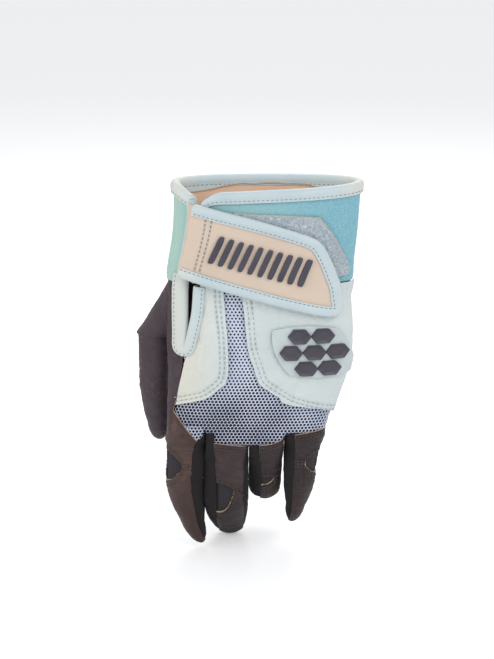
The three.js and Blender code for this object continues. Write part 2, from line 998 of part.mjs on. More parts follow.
// Stretch insert under the leather's window over a middle knuckle. It is an arc about the joint,
// so that it covers the wedge that opens at the back and slides under the next segment.
const insertWidthShare = 0.78;
const insertWall = 0.9;
const insertTuck = 5; // degrees of arc under the leather at each end
function addInsert(finger, parent) {
  add(
    finger.name + "_knuckle_insert",
    gridSolid(
      (p, q, out) => {
        const mid = (finger.back[0] + finger.back[1]) / 2;
        const half = ((finger.back[1] - finger.back[0]) / 2) * insertWidthShare;
        const point = segmentPoint(finger, false, mix(mid - half, mid + half, p), 1, out);
        const turn = radians(mix(-insertTuck, finger.curl + insertTuck, q));
        return new THREE.Vector3(
          point.x,
          point.y * Math.cos(turn),
          point.y * Math.sin(turn) - finger.reachShare * fingerReach,
        );
      },
      5,
      4,
      -layerGap - insertWall,
      -layerGap,
    ),
    stretchInsert,
    parent,
  );
}

// A joint's frame, turned by its rest bend about X, after a turn about Z.
function jointFrame(parent, place, turnZ, bend) {
  const frame = new THREE.Group();
  frame.rotation.order = "ZXY";
  frame.position.copy(place);
  frame.rotation.set(radians(bend), 0, radians(turnZ));
  parent.add(frame);
  return frame;
}

const joints = {};
function addFinger(finger) {
  const place = new THREE.Vector3(finger.at, fingerHalfDepth, -finger.drop);
  const base = jointFrame(glove, place, 0, finger.bend);
  addSegment(finger, false, base);
  addInsert(finger, base);
  const knuckle = new THREE.Vector3(finger.lean, 0, -finger.reachShare * fingerReach);
  const tip = jointFrame(base, knuckle, 0, finger.curl);
  addSegment(finger, true, tip);
  joints[finger.name + "_base"] = base;
  joints[finger.name + "_middle"] = tip;
}
fingers.forEach(addFinger);

// Knit webs that close the side of the hand at the two steps between fingers.
const webWall = 0.8;
const webDepthShare = 0.88;
function addWeb(name, border, side, high, low) {
  const depth = section(low).depth * webDepthShare;
  add(
    name,
    gridSolid(
      (p, q, out) =>
        new THREE.Vector3(
          border + side * (2 * stepHalf + out),
          mix(-depth, depth, p),
          mix(high, low, q),
        ),
      4,
      2,
      0,
      webWall,
    ),
    knit,
  );
}
const webTop = 2;
addWeb("index_middle_web", borders[0], 1, -fingers[0].drop + webTop, -fingers[1].drop);
addWeb("ring_pinky_web", borders[2], -1, -fingers[3].drop + webTop, -fingers[2].drop);

// The thumb: a leather gusset grows out of the palm leather and carries two segments.
const thumb = sized({
  name: "thumb",
  atShare: -1.1635,
  dropShare: 0.60625,
  widthShares: [1.0577, 0.9808, 0.7115],
  reachShare: 0.92,
  tipShare: 0.84,
  bend: 3,
  curl: 10,
  leanShare: -0.1923,
  tipLeanShare: -0.2885,
});
const thumbForwardShare = 1.724;
const thumbAt = new THREE.Vector3(thumb.at, thumbForwardShare * cuffHalfDepth, -thumb.drop);
const thumbTurn = -37;
const thumbRootShares = [-0.808, 0.207, -0.45];
const thumbRootAt = new THREE.Vector3(
  thumbRootShares[0] * cuffHalfWidth,
  thumbRootShares[1] * cuffHalfDepth,
  thumbRootShares[2] * handLength,
);
const thumbRootHalfWidth = 17;
const thumbRootHalfDepth = 9;
const thumbFrame = jointFrame(glove, thumbAt, thumbTurn, thumb.bend);
joints.thumb_base = thumbFrame;
const thumbSides = [-172, -8];
for (const isTip of [false, true]) {
  const tag = isTip ? "lower" : "upper";
  let parent = thumbFrame;
  if (isTip) {
    const knuckle = new THREE.Vector3(thumb.lean, 0, -thumb.reachShare * fingerReach);
    parent = jointFrame(thumbFrame, knuckle, 0, thumb.curl);
    joints.thumb_tip = parent;
  }
  add(
    "thumb_back_" + tag,
    segmentStrip(thumb, isTip, ...thumbSides, 7),
    darkLeather,
    parent,
  );
  add(
    "thumb_palm_" + tag,
    segmentStrip(thumb, isTip, thumbSides[1], 360 + thumbSides[0], 7),
    darkLeather,
    parent,
  );
}

function gussetSurface(p, q, out) {
  const angle = 360 * p;
  const end = segmentPoint(thumb, false, angle, 0, out);
  end.z = fingerGap / 2;
  end.applyAxisAngle(new THREE.Vector3(0, 0, 1), radians(thumbTurn)).add(thumbAt);
  const c = Math.cos(radians(angle));
  const n = Math.sin(radians(angle));
  const tilt = radians(-35);
  const root = new THREE.Vector3(
    (thumbRootHalfWidth + out) * c * Math.cos(tilt),
    (thumbRootHalfDepth + out) * n - (thumbRootHalfWidth + out) * c * Math.sin(tilt) * 0.4,
    (thumbRootHalfWidth + out) * c * Math.sin(tilt),
  ).add(thumbRootAt);
  return root.lerp(end, q);
}
const handFill = solidOf(
  gridSolid(
    (p, q, out) => handPoint(360 * p, mix(0, -handLength, q), out * q + out * (1 - q)),
    36,
    12,
    -cuffHalfDepth / 4,
    palmTo + layerGap,
    true,
  ),
);
function filledTube(surface, turns, rows, out) {
  const positions = [];
  for (let j = 0; j <= rows; j += 1)
    for (let i = 0; i < turns; i += 1)
      positions.push(...surface(i / turns, j / rows, out).toArray());
  const index = [];
  for (let j = 0; j < rows; j += 1)
    for (let i = 0; i < turns; i += 1) {
      const k = (i + 1) % turns;
      const a = j * turns;
      const b = a + turns;
      index.push(a + i, b + i, b + k, a + i, b + k, a + k);
    }
  for (const [row, flip] of [
    [0, false],
    [rows, true],
  ]) {
    const centre = new THREE.Vector3();
    for (let i = 0; i < turns; i += 1) centre.add(surface(i / turns, row / rows, out));
    centre.divideScalar(turns);
    const hub = positions.length / 3;
    positions.push(...centre.toArray());
    for (let i = 0; i < turns; i += 1) {
      const k = (i + 1) % turns;
      const a = row * turns;
      if (flip) index.push(a + i, hub, a + k);
      else index.push(a + i, a + k, hub);
    }
  }
  return solidOf(facingOut(positions, index));
}
const handWhole = filledTube(
  (p, q, out) => handPoint(360 * p, mix(0, -handLength, q), out),
  48,
  12,
  palmTo + layerGap,
);
const gussetShell = solidOf(gridSolid(gussetSurface, 16, 4, 0, leatherWall, true));
add("thumb_gusset", geometryOf(gussetShell.subtract(handWhole)), darkLeather);
const gussetCore = filledTube(gussetSurface, 16, 4, 0);
add("palm_leather", geometryOf(palmSolid.subtract(gussetCore)), darkLeather);

export { joints, strap, strapHinge };
export default glove;
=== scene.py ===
import json
import math

import bmesh
import bpy
import numpy as np
from mathutils import Matrix, Vector, noise
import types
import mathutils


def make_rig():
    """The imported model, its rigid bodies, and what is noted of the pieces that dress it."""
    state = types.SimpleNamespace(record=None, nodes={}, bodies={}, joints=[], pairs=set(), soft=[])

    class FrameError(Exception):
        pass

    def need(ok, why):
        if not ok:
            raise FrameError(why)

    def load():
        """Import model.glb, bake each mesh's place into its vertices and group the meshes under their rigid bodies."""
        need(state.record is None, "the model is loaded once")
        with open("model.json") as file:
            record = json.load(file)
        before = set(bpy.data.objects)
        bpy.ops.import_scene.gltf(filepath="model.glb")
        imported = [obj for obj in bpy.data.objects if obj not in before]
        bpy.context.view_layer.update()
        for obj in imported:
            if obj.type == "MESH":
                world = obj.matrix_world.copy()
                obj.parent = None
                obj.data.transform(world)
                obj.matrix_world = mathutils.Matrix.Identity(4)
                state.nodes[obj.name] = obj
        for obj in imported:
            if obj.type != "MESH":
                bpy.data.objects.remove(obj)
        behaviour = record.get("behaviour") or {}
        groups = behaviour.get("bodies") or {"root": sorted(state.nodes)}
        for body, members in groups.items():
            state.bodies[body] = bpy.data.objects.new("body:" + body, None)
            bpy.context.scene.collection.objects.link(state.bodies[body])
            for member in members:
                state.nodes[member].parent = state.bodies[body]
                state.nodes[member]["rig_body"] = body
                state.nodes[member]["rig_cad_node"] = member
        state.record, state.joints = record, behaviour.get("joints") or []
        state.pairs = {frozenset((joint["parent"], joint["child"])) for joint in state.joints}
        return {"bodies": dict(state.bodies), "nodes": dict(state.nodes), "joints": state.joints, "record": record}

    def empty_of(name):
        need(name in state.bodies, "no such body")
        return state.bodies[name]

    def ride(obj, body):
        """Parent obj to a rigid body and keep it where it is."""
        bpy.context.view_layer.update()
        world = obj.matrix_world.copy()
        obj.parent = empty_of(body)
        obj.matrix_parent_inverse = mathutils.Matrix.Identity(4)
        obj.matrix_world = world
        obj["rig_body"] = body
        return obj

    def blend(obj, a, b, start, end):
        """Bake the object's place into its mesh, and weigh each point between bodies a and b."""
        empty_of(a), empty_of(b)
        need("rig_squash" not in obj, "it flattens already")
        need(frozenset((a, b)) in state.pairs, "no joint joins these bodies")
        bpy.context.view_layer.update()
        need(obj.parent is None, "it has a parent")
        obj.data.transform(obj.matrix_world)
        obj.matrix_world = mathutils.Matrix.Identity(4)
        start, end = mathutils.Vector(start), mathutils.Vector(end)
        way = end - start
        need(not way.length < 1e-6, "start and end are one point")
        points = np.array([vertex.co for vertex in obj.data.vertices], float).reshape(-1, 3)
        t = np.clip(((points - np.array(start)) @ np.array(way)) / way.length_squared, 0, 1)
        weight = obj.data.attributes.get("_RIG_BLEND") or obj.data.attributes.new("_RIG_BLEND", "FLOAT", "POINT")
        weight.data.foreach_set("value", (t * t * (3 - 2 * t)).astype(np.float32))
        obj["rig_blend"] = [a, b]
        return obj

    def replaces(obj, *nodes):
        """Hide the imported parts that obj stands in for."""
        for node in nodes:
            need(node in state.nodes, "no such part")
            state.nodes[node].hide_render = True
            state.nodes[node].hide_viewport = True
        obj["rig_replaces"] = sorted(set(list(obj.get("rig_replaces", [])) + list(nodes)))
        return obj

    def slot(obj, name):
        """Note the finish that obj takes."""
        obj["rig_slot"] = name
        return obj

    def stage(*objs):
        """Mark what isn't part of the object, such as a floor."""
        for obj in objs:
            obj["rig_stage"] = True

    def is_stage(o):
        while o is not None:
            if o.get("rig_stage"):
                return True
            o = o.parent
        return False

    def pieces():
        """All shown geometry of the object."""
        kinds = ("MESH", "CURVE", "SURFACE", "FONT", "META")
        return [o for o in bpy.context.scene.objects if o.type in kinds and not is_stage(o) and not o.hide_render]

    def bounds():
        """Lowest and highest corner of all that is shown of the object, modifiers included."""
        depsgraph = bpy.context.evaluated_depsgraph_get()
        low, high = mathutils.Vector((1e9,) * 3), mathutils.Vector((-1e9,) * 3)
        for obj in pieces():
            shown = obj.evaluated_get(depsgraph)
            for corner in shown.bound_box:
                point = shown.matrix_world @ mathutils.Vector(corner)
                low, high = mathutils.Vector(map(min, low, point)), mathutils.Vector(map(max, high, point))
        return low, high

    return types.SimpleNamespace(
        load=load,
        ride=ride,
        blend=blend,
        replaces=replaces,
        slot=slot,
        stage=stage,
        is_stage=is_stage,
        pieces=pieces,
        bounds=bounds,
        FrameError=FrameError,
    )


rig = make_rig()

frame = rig.load()
cad_box = [list(corner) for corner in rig.bounds()]
floor_z = cad_box[0][2] - 0.0005


# Camera: a long lens that looks slightly down on the back of the hand, as in the photograph,
# with the glove upright on its fingertips and the cuff's mouth just open to view.
def to_linear(hex_code):
    """An sRGB hex colour as linear red, green, blue and alpha."""
    parts = [int(hex_code[i : i + 2], 16) / 255 for i in (1, 3, 5)]
    linear = [c / 12.92 if c <= 0.04045 else ((c + 0.055) / 1.055) ** 2.4 for c in parts]
    return (*linear, 1)


aim = Vector((-0.0116, 0, -0.0905))
distance = 1.15
elevation = math.radians(15)
view_height = 0.3815
camera_data = bpy.data.cameras.new("camera")
camera_data.sensor_width = 36
camera_data.lens = camera_data.sensor_width * distance / view_height
camera_data.clip_start = 0.01
camera = bpy.data.objects.new("camera", camera_data)
bpy.context.collection.objects.link(camera)
camera.location = aim + distance * Vector((0, -math.cos(elevation), math.sin(elevation)))
camera.rotation_euler = (aim - camera.location).to_track_quat("-Z", "Y").to_euler()
bpy.context.scene.camera = camera


# Studio: a pale floor and three large soft lamps. The floor and the world are white to the
# camera, and the floor keeps the glove's soft shadow.
def add_node(tree, kind, settings=None, **inputs):
    """Adds a node, sets its properties, and sets or links its inputs by name or number."""
    made = tree.nodes.new(kind)
    for name, value in (settings or {}).items():
        setattr(made, name, value)
    for name, value in inputs.items():
        key = int(name[1:]) if name[0] == "_" and name[1:].isdigit() else name.replace("_", " ")
        if isinstance(value, bpy.types.NodeSocket):
            tree.links.new(value, made.inputs[key])
        else:
            made.inputs[key].default_value = value
    return made


def new_material(name):
    """An empty material, its node tree, and its output node."""
    material = bpy.data.materials.new(name)
    material.use_nodes = True
    tree = material.node_tree
    tree.nodes.clear()
    return material, tree, tree.nodes.new("ShaderNodeOutputMaterial")


bpy.context.scene.view_settings.view_transform = "Standard"
world = bpy.data.worlds.new("studio")
bpy.context.scene.world = world
world.use_nodes = True
tree = world.node_tree
tree.nodes.clear()
paths = tree.nodes.new("ShaderNodeLightPath")
seen = add_node(tree, "ShaderNodeMath", {"operation": "MAXIMUM"}, _0=paths.outputs["Is Camera Ray"],
                _1=paths.outputs["Is Glossy Ray"])
fill = add_node(tree, "ShaderNodeBackground", Color=to_linear("#F4F6FA"), Strength=0.62)
white = add_node(tree, "ShaderNodeBackground", Color=to_linear("#FDFDFD"), Strength=1.0)
mixed = add_node(tree, "ShaderNodeMixShader", _0=seen.outputs[0], _1=fill.outputs[0],
                 _2=white.outputs[0])
output = tree.nodes.new("ShaderNodeOutputWorld")
tree.links.new(mixed.outputs[0], output.inputs["Surface"])

bpy.ops.object.select_all(action="DESELECT")
bpy.ops.mesh.primitive_plane_add(size=6, location=(0, 0.6, floor_z))
floor = bpy.context.object
floor.name = "floor"
material, tree, output = new_material("pale_paper_floor")
shade = add_node(tree, "ShaderNodeBsdfPrincipled", Base_Color=to_linear("#F6F6F6"), Roughness=0.9)
glow = add_node(tree, "ShaderNodeEmission", Color=to_linear("#FCFCFC"), Strength=0.3)
paths = tree.nodes.new("ShaderNodeLightPath")
lit = add_node(tree, "ShaderNodeAddShader", _0=shade.outputs[0], _1=glow.outputs[0])
both = add_node(tree, "ShaderNodeMixShader", _0=paths.outputs["Is Camera Ray"], _1=shade.outputs[0],
                _2=lit.outputs[0])
tree.links.new(both.outputs[0], output.inputs["Surface"])
floor.data.materials.append(material)
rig.stage(floor)

for name, place, power, size in (
    ("key_lamp", (0.75, -0.95, 0.75), 7.5, 0.9),
    ("side_lamp", (-0.95, -0.55, 0.35), 3.6, 0.8),
    ("back_lamp", (0.1, 0.9, 0.8), 5, 0.8),
):
    lamp_data = bpy.data.lights.new(name, "AREA")
    lamp_data.energy = power
    lamp_data.size = size
    lamp = bpy.data.objects.new(name, lamp_data)
    bpy.context.collection.objects.link(lamp)
    lamp.location = place
    lamp.rotation_euler = (Vector((0, 0, -0.1)) - lamp.location).to_track_quat("-Z", "Y").to_euler()


# Backing: a thin dark tricot that lines the back of the hand and shows through the holes of the
# mesh. It is sewn in with the mesh along both sides and at the wrist.
mm = 0.001
hand_half_width = 52
hand_half_depth = 14.5
hand_length = 160
hand_sections = (
    (-0.02, 0, 0.955, 1, 2.3),
    (0, 0, 0.955, 1, 2.3),
    (0.18, -0.02, 0.944, 0.97, 2.3),
    (0.33, -0.073, 0.96, 0.92, 2.4),
    (0.38, -0.085, 0.975, 0.9, 2.4),
    (0.44, -0.1, 0.963, 0.9, 2.4),
    (0.59, -0.092, 0.98, 0.94, 2.5),
    (0.72, -0.12, 0.95, 0.9, 2.7),
    (0.81, -0.17, 0.905, 0.8, 3.1),
    (0.91, -0.22, 0.86, 0.62, 3.9),
    (1.02, -0.246, 0.83, 0.47, 4.6),
)


def along(rows, key, column=1):
    """Reads a table of rows (key, value, ...) at keys, on a smooth curve through its rows."""
    table = np.array(rows, float)
    keys, values = table[:, 0], table[:, column]
    rise = np.diff(values) / np.diff(keys)
    slopes = np.concatenate((rise[:1], (values[2:] - values[:-2]) / (keys[2:] - keys[:-2]), rise[-1:]))
    key = np.asarray(key, float)
    i = np.clip(np.searchsorted(keys, key), 1, len(keys) - 1)
    span = keys[i] - keys[i - 1]
    t = np.clip((key - keys[i - 1]) / span, 0, 1)
    return ((2 * t**3 - 3 * t**2 + 1) * values[i - 1] + (t**3 - 2 * t**2 + t) * span * slopes[i - 1]
            + (3 * t**2 - 2 * t**3) * values[i] + (t**3 - t**2) * span * slopes[i])


def hand_section(z):
    """Middle, half width, half depth and power of the hand's section at heights in mm."""
    key = -np.asarray(z, float) / hand_length
    return (along(hand_sections, key, 1) * hand_half_width, along(hand_sections, key, 2) * hand_half_width,
            along(hand_sections, key, 3) * hand_half_depth, 2 / along(hand_sections, key, 4))


def hand_point(angle, z, out):
    """Points of the hand in mm: angle 0 is right, 90 palm, 180 thumb side, -90 the back."""
    angle, z, out = np.broadcast_arrays(np.asarray(angle, float), z, out)
    middle, width, depth, power = hand_section(z)
    c, n = np.cos(np.radians(angle)), np.sin(np.radians(angle))
    return np.stack((middle + (width + out) * np.sign(c) * np.abs(c) ** power,
                     (depth + out) * np.sign(n) * np.abs(n) ** power, z), -1)


def back_angle(share, z):
    """The angle at which the back of the hand has a share of its half width."""
    power = hand_section(z)[3]
    share = np.clip(share, -1, 1)
    return -np.degrees(np.arccos(np.sign(share) * np.abs(share) ** (1 / power)))


def on_back(x, z, out):
    middle, width, _, _ = hand_section(z)
    return hand_point(back_angle((np.asarray(x, float) - middle) / width, z), z, out)


def edge_angle(rows, z):
    """The angle of an edge on the back that a table gives as (share of length, share of width)."""
    z = np.asarray(z, float)
    return back_angle(along(rows, -z / hand_length), z)


finger_borders = ((-35.75, -149), (-10.6, -159), (10.0, -159), (200, -152))


def hand_end(x):
    """The height at which the hand ends and a finger starts."""
    x = np.asarray(x, float)
    z = np.full(x.shape, float(finger_borders[0][1]))
    for i in (0, 1, 2):
        t = np.clip((x - finger_borders[i][0] + 0.3) / 0.6, 0, 1)
        z = z * (1 - t) + finger_borders[i + 1][1] * t
    return z


def wave(spots, size, seed, stretch=(1, 1, 1)):
    """Smooth noise from -1 to 1 at points in mm, with hills of a size in mm."""
    scale = np.array(stretch) / size
    return np.array([noise.noise(Vector(spot * scale) + Vector((seed, 7.3 * seed, 0))) for spot in spots])


def lay_grid(name, columns, rows, place):
    """Adds a grid and lays it by place(u, v, out); gives the piece with its u, v and points in mm."""
    bpy.ops.object.select_all(action="DESELECT")
    bpy.ops.mesh.primitive_grid_add(x_subdivisions=columns, y_subdivisions=rows, size=1)
    piece = bpy.context.object
    piece.name = name
    flat = np.empty(len(piece.data.vertices) * 3)
    piece.data.vertices.foreach_get("co", flat)
    u, v = np.clip(flat.reshape(-1, 3)[:, :2].T + 0.5, 0, 1)
    return piece, u, v, place(u, v, np.zeros(len(u)))


def move_points(piece, spots):
    """Moves a piece's points to spots in mm."""
    piece.data.vertices.foreach_set("co", (spots * mm).ravel())
    piece.data.update()


def pick(*pieces):
    """Selects just these pieces and makes the first one active."""
    bpy.ops.object.select_all(action="DESELECT")
    for piece in pieces:
        piece.select_set(True)
    bpy.context.view_layer.objects.active = pieces[0]


def turn_outward():
    """Turns the active piece's normals outward."""
    bpy.ops.object.mode_set(mode="EDIT")
    bpy.ops.mesh.select_all(action="SELECT")
    bpy.ops.mesh.normals_make_consistent(inside=False)
    bpy.ops.object.mode_set(mode="OBJECT")


def finish_mesh(piece, angle=50):
    """Applies a piece's modifiers and smooths it, with its creases kept."""
    pick(piece)
    for modifier in list(piece.modifiers):
        bpy.ops.object.modifier_apply(modifier=modifier.name)
    bpy.ops.object.shade_smooth_by_angle(angle=math.radians(angle))


def nearest(spots, line):
    """The distance from each point to the nearest point of a line of points."""
    best = np.full(len(spots), 1e9)
    for start in range(0, len(line), 64):
        gap = spots[:, None, :] - line[None, start : start + 64, :]
        best = np.minimum(best, np.sqrt((gap**2).sum(2)).min(1))
    return best


def skin(name, columns, rows, place, wall, materials, relief=None, pinches=(), corner=0.25):
    """A cut panel of cloth or leather: a grid laid by place, pressed in along its seams, then
    thickened inwards with a cut edge, its corners eased. It keeps each point's distance to the
    panel's edge, in mm, as the attribute edge_mm."""
    piece, u, v, spots = lay_grid(name, columns, rows, place)
    out = relief(u, v, spots) if relief else np.zeros(len(u))
    for line, depth, width in pinches:
        out = out - depth * np.exp(-((nearest(spots, line) / width) ** 2))
    ahead = place(u, v, out + 0.5) - place(u, v, out)
    spots = place(u, v, out)
    move_points(piece, spots)
    facing = sum(Vector(ahead[p.vertices[0]]).dot(p.normal) for p in piece.data.polygons)
    if facing < 0:
        piece.data.flip_normals()
    border = spots[(u < 1e-6) | (u > 1 - 1e-6) | (v < 1e-6) | (v > 1 - 1e-6)]
    attribute = piece.data.attributes.new("edge_mm", "FLOAT", "POINT")
    attribute.data.foreach_set("value", nearest(spots, border).astype(np.float32))
    for material in materials:
        piece.data.materials.append(material)
    shell = piece.modifiers.new("wall", "SOLIDIFY")
    shell.thickness = wall * mm
    shell.offset = -1
    shell.use_even_offset = False
    shell.material_offset_rim = len(materials) - 1
    if corner:
        eased = piece.modifiers.new("corner", "BEVEL")
        eased.width = corner * mm
        eased.segments = 2
        eased.limit_method = "ANGLE"
        eased.angle_limit = math.radians(50)
    finish_mesh(piece)
    return piece


def object_place(tree, scale=(1, 1, 1)):
    """The point on the piece, stretched by a scale, for patterns sized in metres."""
    spot = tree.nodes.new("ShaderNodeTexCoord").outputs["Object"]
    return add_node(tree, "ShaderNodeMapping", Vector=spot, Scale=scale).outputs[0]


def tinted(tree, factor, low, high, *washes):
    """A material's tint: it runs from one hex colour to another with a factor socket, and each
    wash after them, an amount and a hex colour, is laid over it."""
    tint = to_linear(low)
    for amount, color in ((factor, high), *washes):
        tint = add_node(tree, "ShaderNodeMix", {"data_type": "RGBA"}, _0=amount, _6=tint,
                        _7=to_linear(color)).outputs[2]
    return tint


def fade(tree, spot, axis, start, end, most):
    """The amount of a wash along an axis: none at start and most at end, which are in metres."""
    place = add_node(tree, "ShaderNodeSeparateXYZ", _0=spot).outputs[axis]
    return add_node(tree, "ShaderNodeMapRange", {"interpolation_type": "SMOOTHSTEP"}, _0=place, _1=start,
                    _2=end, _3=0.0, _4=most).outputs[0]


def surface(tree, output, color, roughness, height, depth, **more):
    """Finishes a material: a principled surface with a bump of a depth in mm."""
    bump = add_node(tree, "ShaderNodeBump", Height=height, Distance=depth * mm, Strength=1.0)
    shade = add_node(tree, "ShaderNodeBsdfPrincipled", Base_Color=color, Roughness=roughness,
                     Normal=bump.outputs[0], **more)
    tree.links.new(shade.outputs[0], output.inputs["Surface"])


def plain_material(name, kind, low, high, roughness, depth, settings=None, stretch=(1, 1, 1), **inputs):
    """A material of one pattern, which drives both its tint and its bump."""
    material, tree, output = new_material(name)
    pattern = add_node(tree, kind, settings, Vector=object_place(tree, stretch), **inputs)
    factor = pattern.outputs["Distance" if kind == "ShaderNodeTexVoronoi" else "Fac"]
    surface(tree, output, tinted(tree, factor, low, high), roughness, factor, depth)
    return material


# Warp-knit tricot: matt, almost black, its fine ribs 0.5 mm apart.
dark_tricot = plain_material("dark_knit_tricot", "ShaderNodeTexWave", "#26242C", "#3B3944", 0.92, 0.15,
                             Scale=320.0, Distortion=2.0)

mesh_edge = ((0.34, -0.64), (0.45, -0.64), (0.52, -0.66), (0.56, -0.7), (0.61, -0.768), (0.66, -0.81),
             (0.76, -0.85), (0.83, -0.885), (0.9, -0.94), (1.01, -0.965))
back_seam = 3.54
leather_top = -60.4
backing_depth = 0.75
leather_middle = 1.1


def between(first, last, depth):
    """Lays a grid on the hand, from the seam at the cuff down to the fingers, between two edges;
    first and last tell the angle of each at a height."""
    def place(u, v, out):
        low = first(-hand_length) * (1 - u) + last(-hand_length) * u
        z = leather_top * (1 - v) + hand_end(hand_point(low, -hand_length, leather_middle)[:, 0]) * v
        return hand_point(first(z) * (1 - u) + last(z) * u, z, depth + out)
    return place


on_backing = between(lambda z: edge_angle(mesh_edge, z), lambda z: back_seam, backing_depth)
backing = skin("back_backing", 90, 60, on_backing, 0.5, [dark_tricot], corner=0)
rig.replaces(backing, "back_lining")
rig.ride(backing, "hand")
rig.slot(backing, "backing")


# Mesh: white warp-knit sports mesh over the dark backing, cut from one piece for the whole back
# of the hand. Its round holes stand 2.15 mm apart and open wider where it is pulled, low down.
hole_pitch = 2.15
mesh_wall = 0.55
mesh_depth = 2.0
mesh_rise = 1.9
mesh_heights = (-61, -161)
mesh_end_share = 0.995
top_row = -61.5
gap_shares = (-0.42, -0.14)
gap_bottom = -64
smallest_hole = 0.62
hole_growth = 0.34
widest_hole = 0.985

# Polyester knit: lavender white, matt, with fine yarn loops that catch the light.
white_knit, tree, output = new_material("white_polyester_knit")
loops = add_node(tree, "ShaderNodeTexNoise", Vector=object_place(tree, (1, 1, 0.5)), Scale=2200.0, Detail=2.0)
shade_noise = add_node(tree, "ShaderNodeTexNoise", Vector=object_place(tree), Scale=60.0)
tint = tinted(tree, shade_noise.outputs["Fac"], "#AEB7D2", "#DDE3F2")
surface(tree, output, tint, 0.85, loops.outputs["Fac"], 0.12, Sheen_Weight=0.2)


def run_of(points):
    """How far along a line each of its points lies."""
    return np.concatenate(([0], np.cumsum(np.linalg.norm(np.diff(points, axis=0), axis=1))))


side_shares = np.linspace(-1, 1, 801)
side_depths = 0.28 * (1 - np.abs(side_shares) ** 2.3) ** (1 / 2.3)
side_runs = run_of(np.stack((side_shares, side_depths), -1))
side_runs -= side_runs[400]


def across_hand(run, z):
    """Points of the back by mm of cloth from its middle line: x, share of the width, and height."""
    run, z = np.broadcast_arrays(np.asarray(run, float), z)
    middle, width, _, _ = hand_section(z)
    share = np.interp(run / (width + mesh_rise), side_runs, side_shares)
    return np.stack((middle + share * (width + mesh_rise), share, z), -1)


def from_faces(name, points, faces, material):
    """A piece made of points in mm and the faces between them."""
    data = bpy.data.meshes.new(name)
    data.from_pydata((points * mm).tolist(), [], faces)
    data.materials.append(material)
    piece = bpy.data.objects.new(name, data)
    bpy.context.collection.objects.link(piece)
    return piece


def knit_cloth(name, heights, hole, lay):
    """Hexagons with round holes, drawn flat in mm across and down, then laid on the glove. The
    hole's size comes from a function, 0 for a closed hexagon and None for none at all."""
    corners = 12
    turns = np.radians(np.arange(corners) * 30 + 30)
    rim = np.where(np.arange(corners) % 2 == 0, 1, math.cos(math.radians(30))) * hole_pitch / math.sqrt(3)
    points, faces, known = [], [], {}

    def corner(x, z):
        key = (round(x * 50), round(z * 50))
        if key not in known:
            known[key] = len(points)
            points.append((x, z))
        return known[key]

    row_drop = hole_pitch * math.sqrt(3) / 2
    for row in range(int((top_row - heights[1]) / row_drop) + 1):
        z = top_row - row * row_drop
        if z > heights[0]:
            continue
        for column in range(-28, 29):
            x = (column + (row % 2) * 0.5) * hole_pitch
            size = hole(x, z)
            if size is None:
                continue
            ring = [corner(x + r * math.cos(t), z + r * math.sin(t)) for r, t in zip(rim, turns)]
            if size == 0:
                faces.append(ring)
                continue
            inner = []
            for t in turns:
                inner.append(len(points))
                points.append((x + size * math.cos(t), z + size * 1.06 * math.sin(t)))
            faces += [[ring[i], ring[(i + 1) % corners], inner[(i + 1) % corners], inner[i]]
                      for i in range(corners)]
    flat = np.array(points)
    cloth = from_faces(name, lay(flat[:, 0], flat[:, 1]), faces, white_knit)
    if sum(polygon.normal.y for polygon in cloth.data.polygons) > 0:
        cloth.data.flip_normals()
    shell = cloth.modifiers.new("wall", "SOLIDIFY")
    shell.thickness = mesh_wall * mm
    shell.offset = -1
    finish_mesh(cloth, 70)
    return cloth


def back_hole(run, z):
    """The size of a hole on the back of the hand: wider low down, where the mesh is pulled. Its
    top rows lie only in the gap between the two side panels."""
    x, share, _ = (float(value) for value in across_hand(run, z))
    start = float(along(mesh_edge, -z / hand_length))
    if not start + 0.012 < share < mesh_end_share or z - 1.3 < float(hand_end(x)):
        return None
    if z > gap_bottom and not gap_shares[0] < share < gap_shares[1]:
        return None
    if under_panel(share, -z / hand_length):
        return 0
    if (z < -149.5 and x < -32.4) or (z < -153.5 and x > 7.6) or (z < -151.5 and share > 0.88):
        return None
    pulled = 1 / (1 + math.exp((z + 125) / 6)) * (1 - 0.32 / (1 + math.exp((8 - x) / 4)))
    pulled += 0.2 / (1 + math.exp((x + 24) / 4)) / (1 + math.exp((z + 134) / 4))
    uneven = 0.04 * math.sin(x * 0.21) * math.sin(z * 0.17)
    return min(smallest_hole + hole_growth * pulled + uneven, widest_hole)


def under_panel(share, down):
    """Whether a leather panel covers this point by more than a few holes, so that none is cut."""
    edges = (thumb_panel["left"], thumb_panel["right"], pinky_panel["left"])
    left, right, left_of_pinky = (along([row[::-1] for row in rows], down) for rows in edges)
    low_left, low_right = (along(sorted(panel["bottom"]), share) for panel in (thumb_panel, pinky_panel))
    on_left = left + 0.06 < share < right - 0.06 and down < low_left - 0.02
    on_right = share > left_of_pinky + 0.06 and down < low_right - 0.02
    return on_left or on_right or down < 0.375


thumb_panel = dict(
    top=[(-0.62, 0.377), (-0.38, 0.377)],
    bottom=[(-0.87, 0.83), (-0.66, 0.813), (-0.5, 0.795), (-0.33, 0.742)],
    left=[(-0.62, 0.377), (-0.625, 0.49), (-0.685, 0.575), (-0.785, 0.665), (-0.87, 0.83)],
    right=[(-0.38, 0.377), (-0.35, 0.491), (-0.32, 0.62), (-0.31, 0.7), (-0.33, 0.742)],
)
pinky_panel = dict(
    top=[(-0.19, 0.377), (1, 0.377)],
    bottom=[(0.03, 0.735), (0.1, 0.756), (0.29, 0.793), (0.52, 0.829), (1, 0.868)],
    left=[(-0.19, 0.377), (-0.15, 0.476), (-0.12, 0.6), (-0.04, 0.68), (0.03, 0.735)],
    right=[(1, 0.377), (1, 0.62), (1, 0.868)],
)


def on_hand_back(run, z):
    return hand_point(back_angle(across_hand(run, z)[:, 1], z), z, mesh_depth)


mesh_cloth = knit_cloth("back_mesh_cloth", mesh_heights, back_hole, on_hand_back)
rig.replaces(mesh_cloth, "back_mesh")
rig.ride(mesh_cloth, "hand")
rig.slot(mesh_cloth, "knit_mesh")


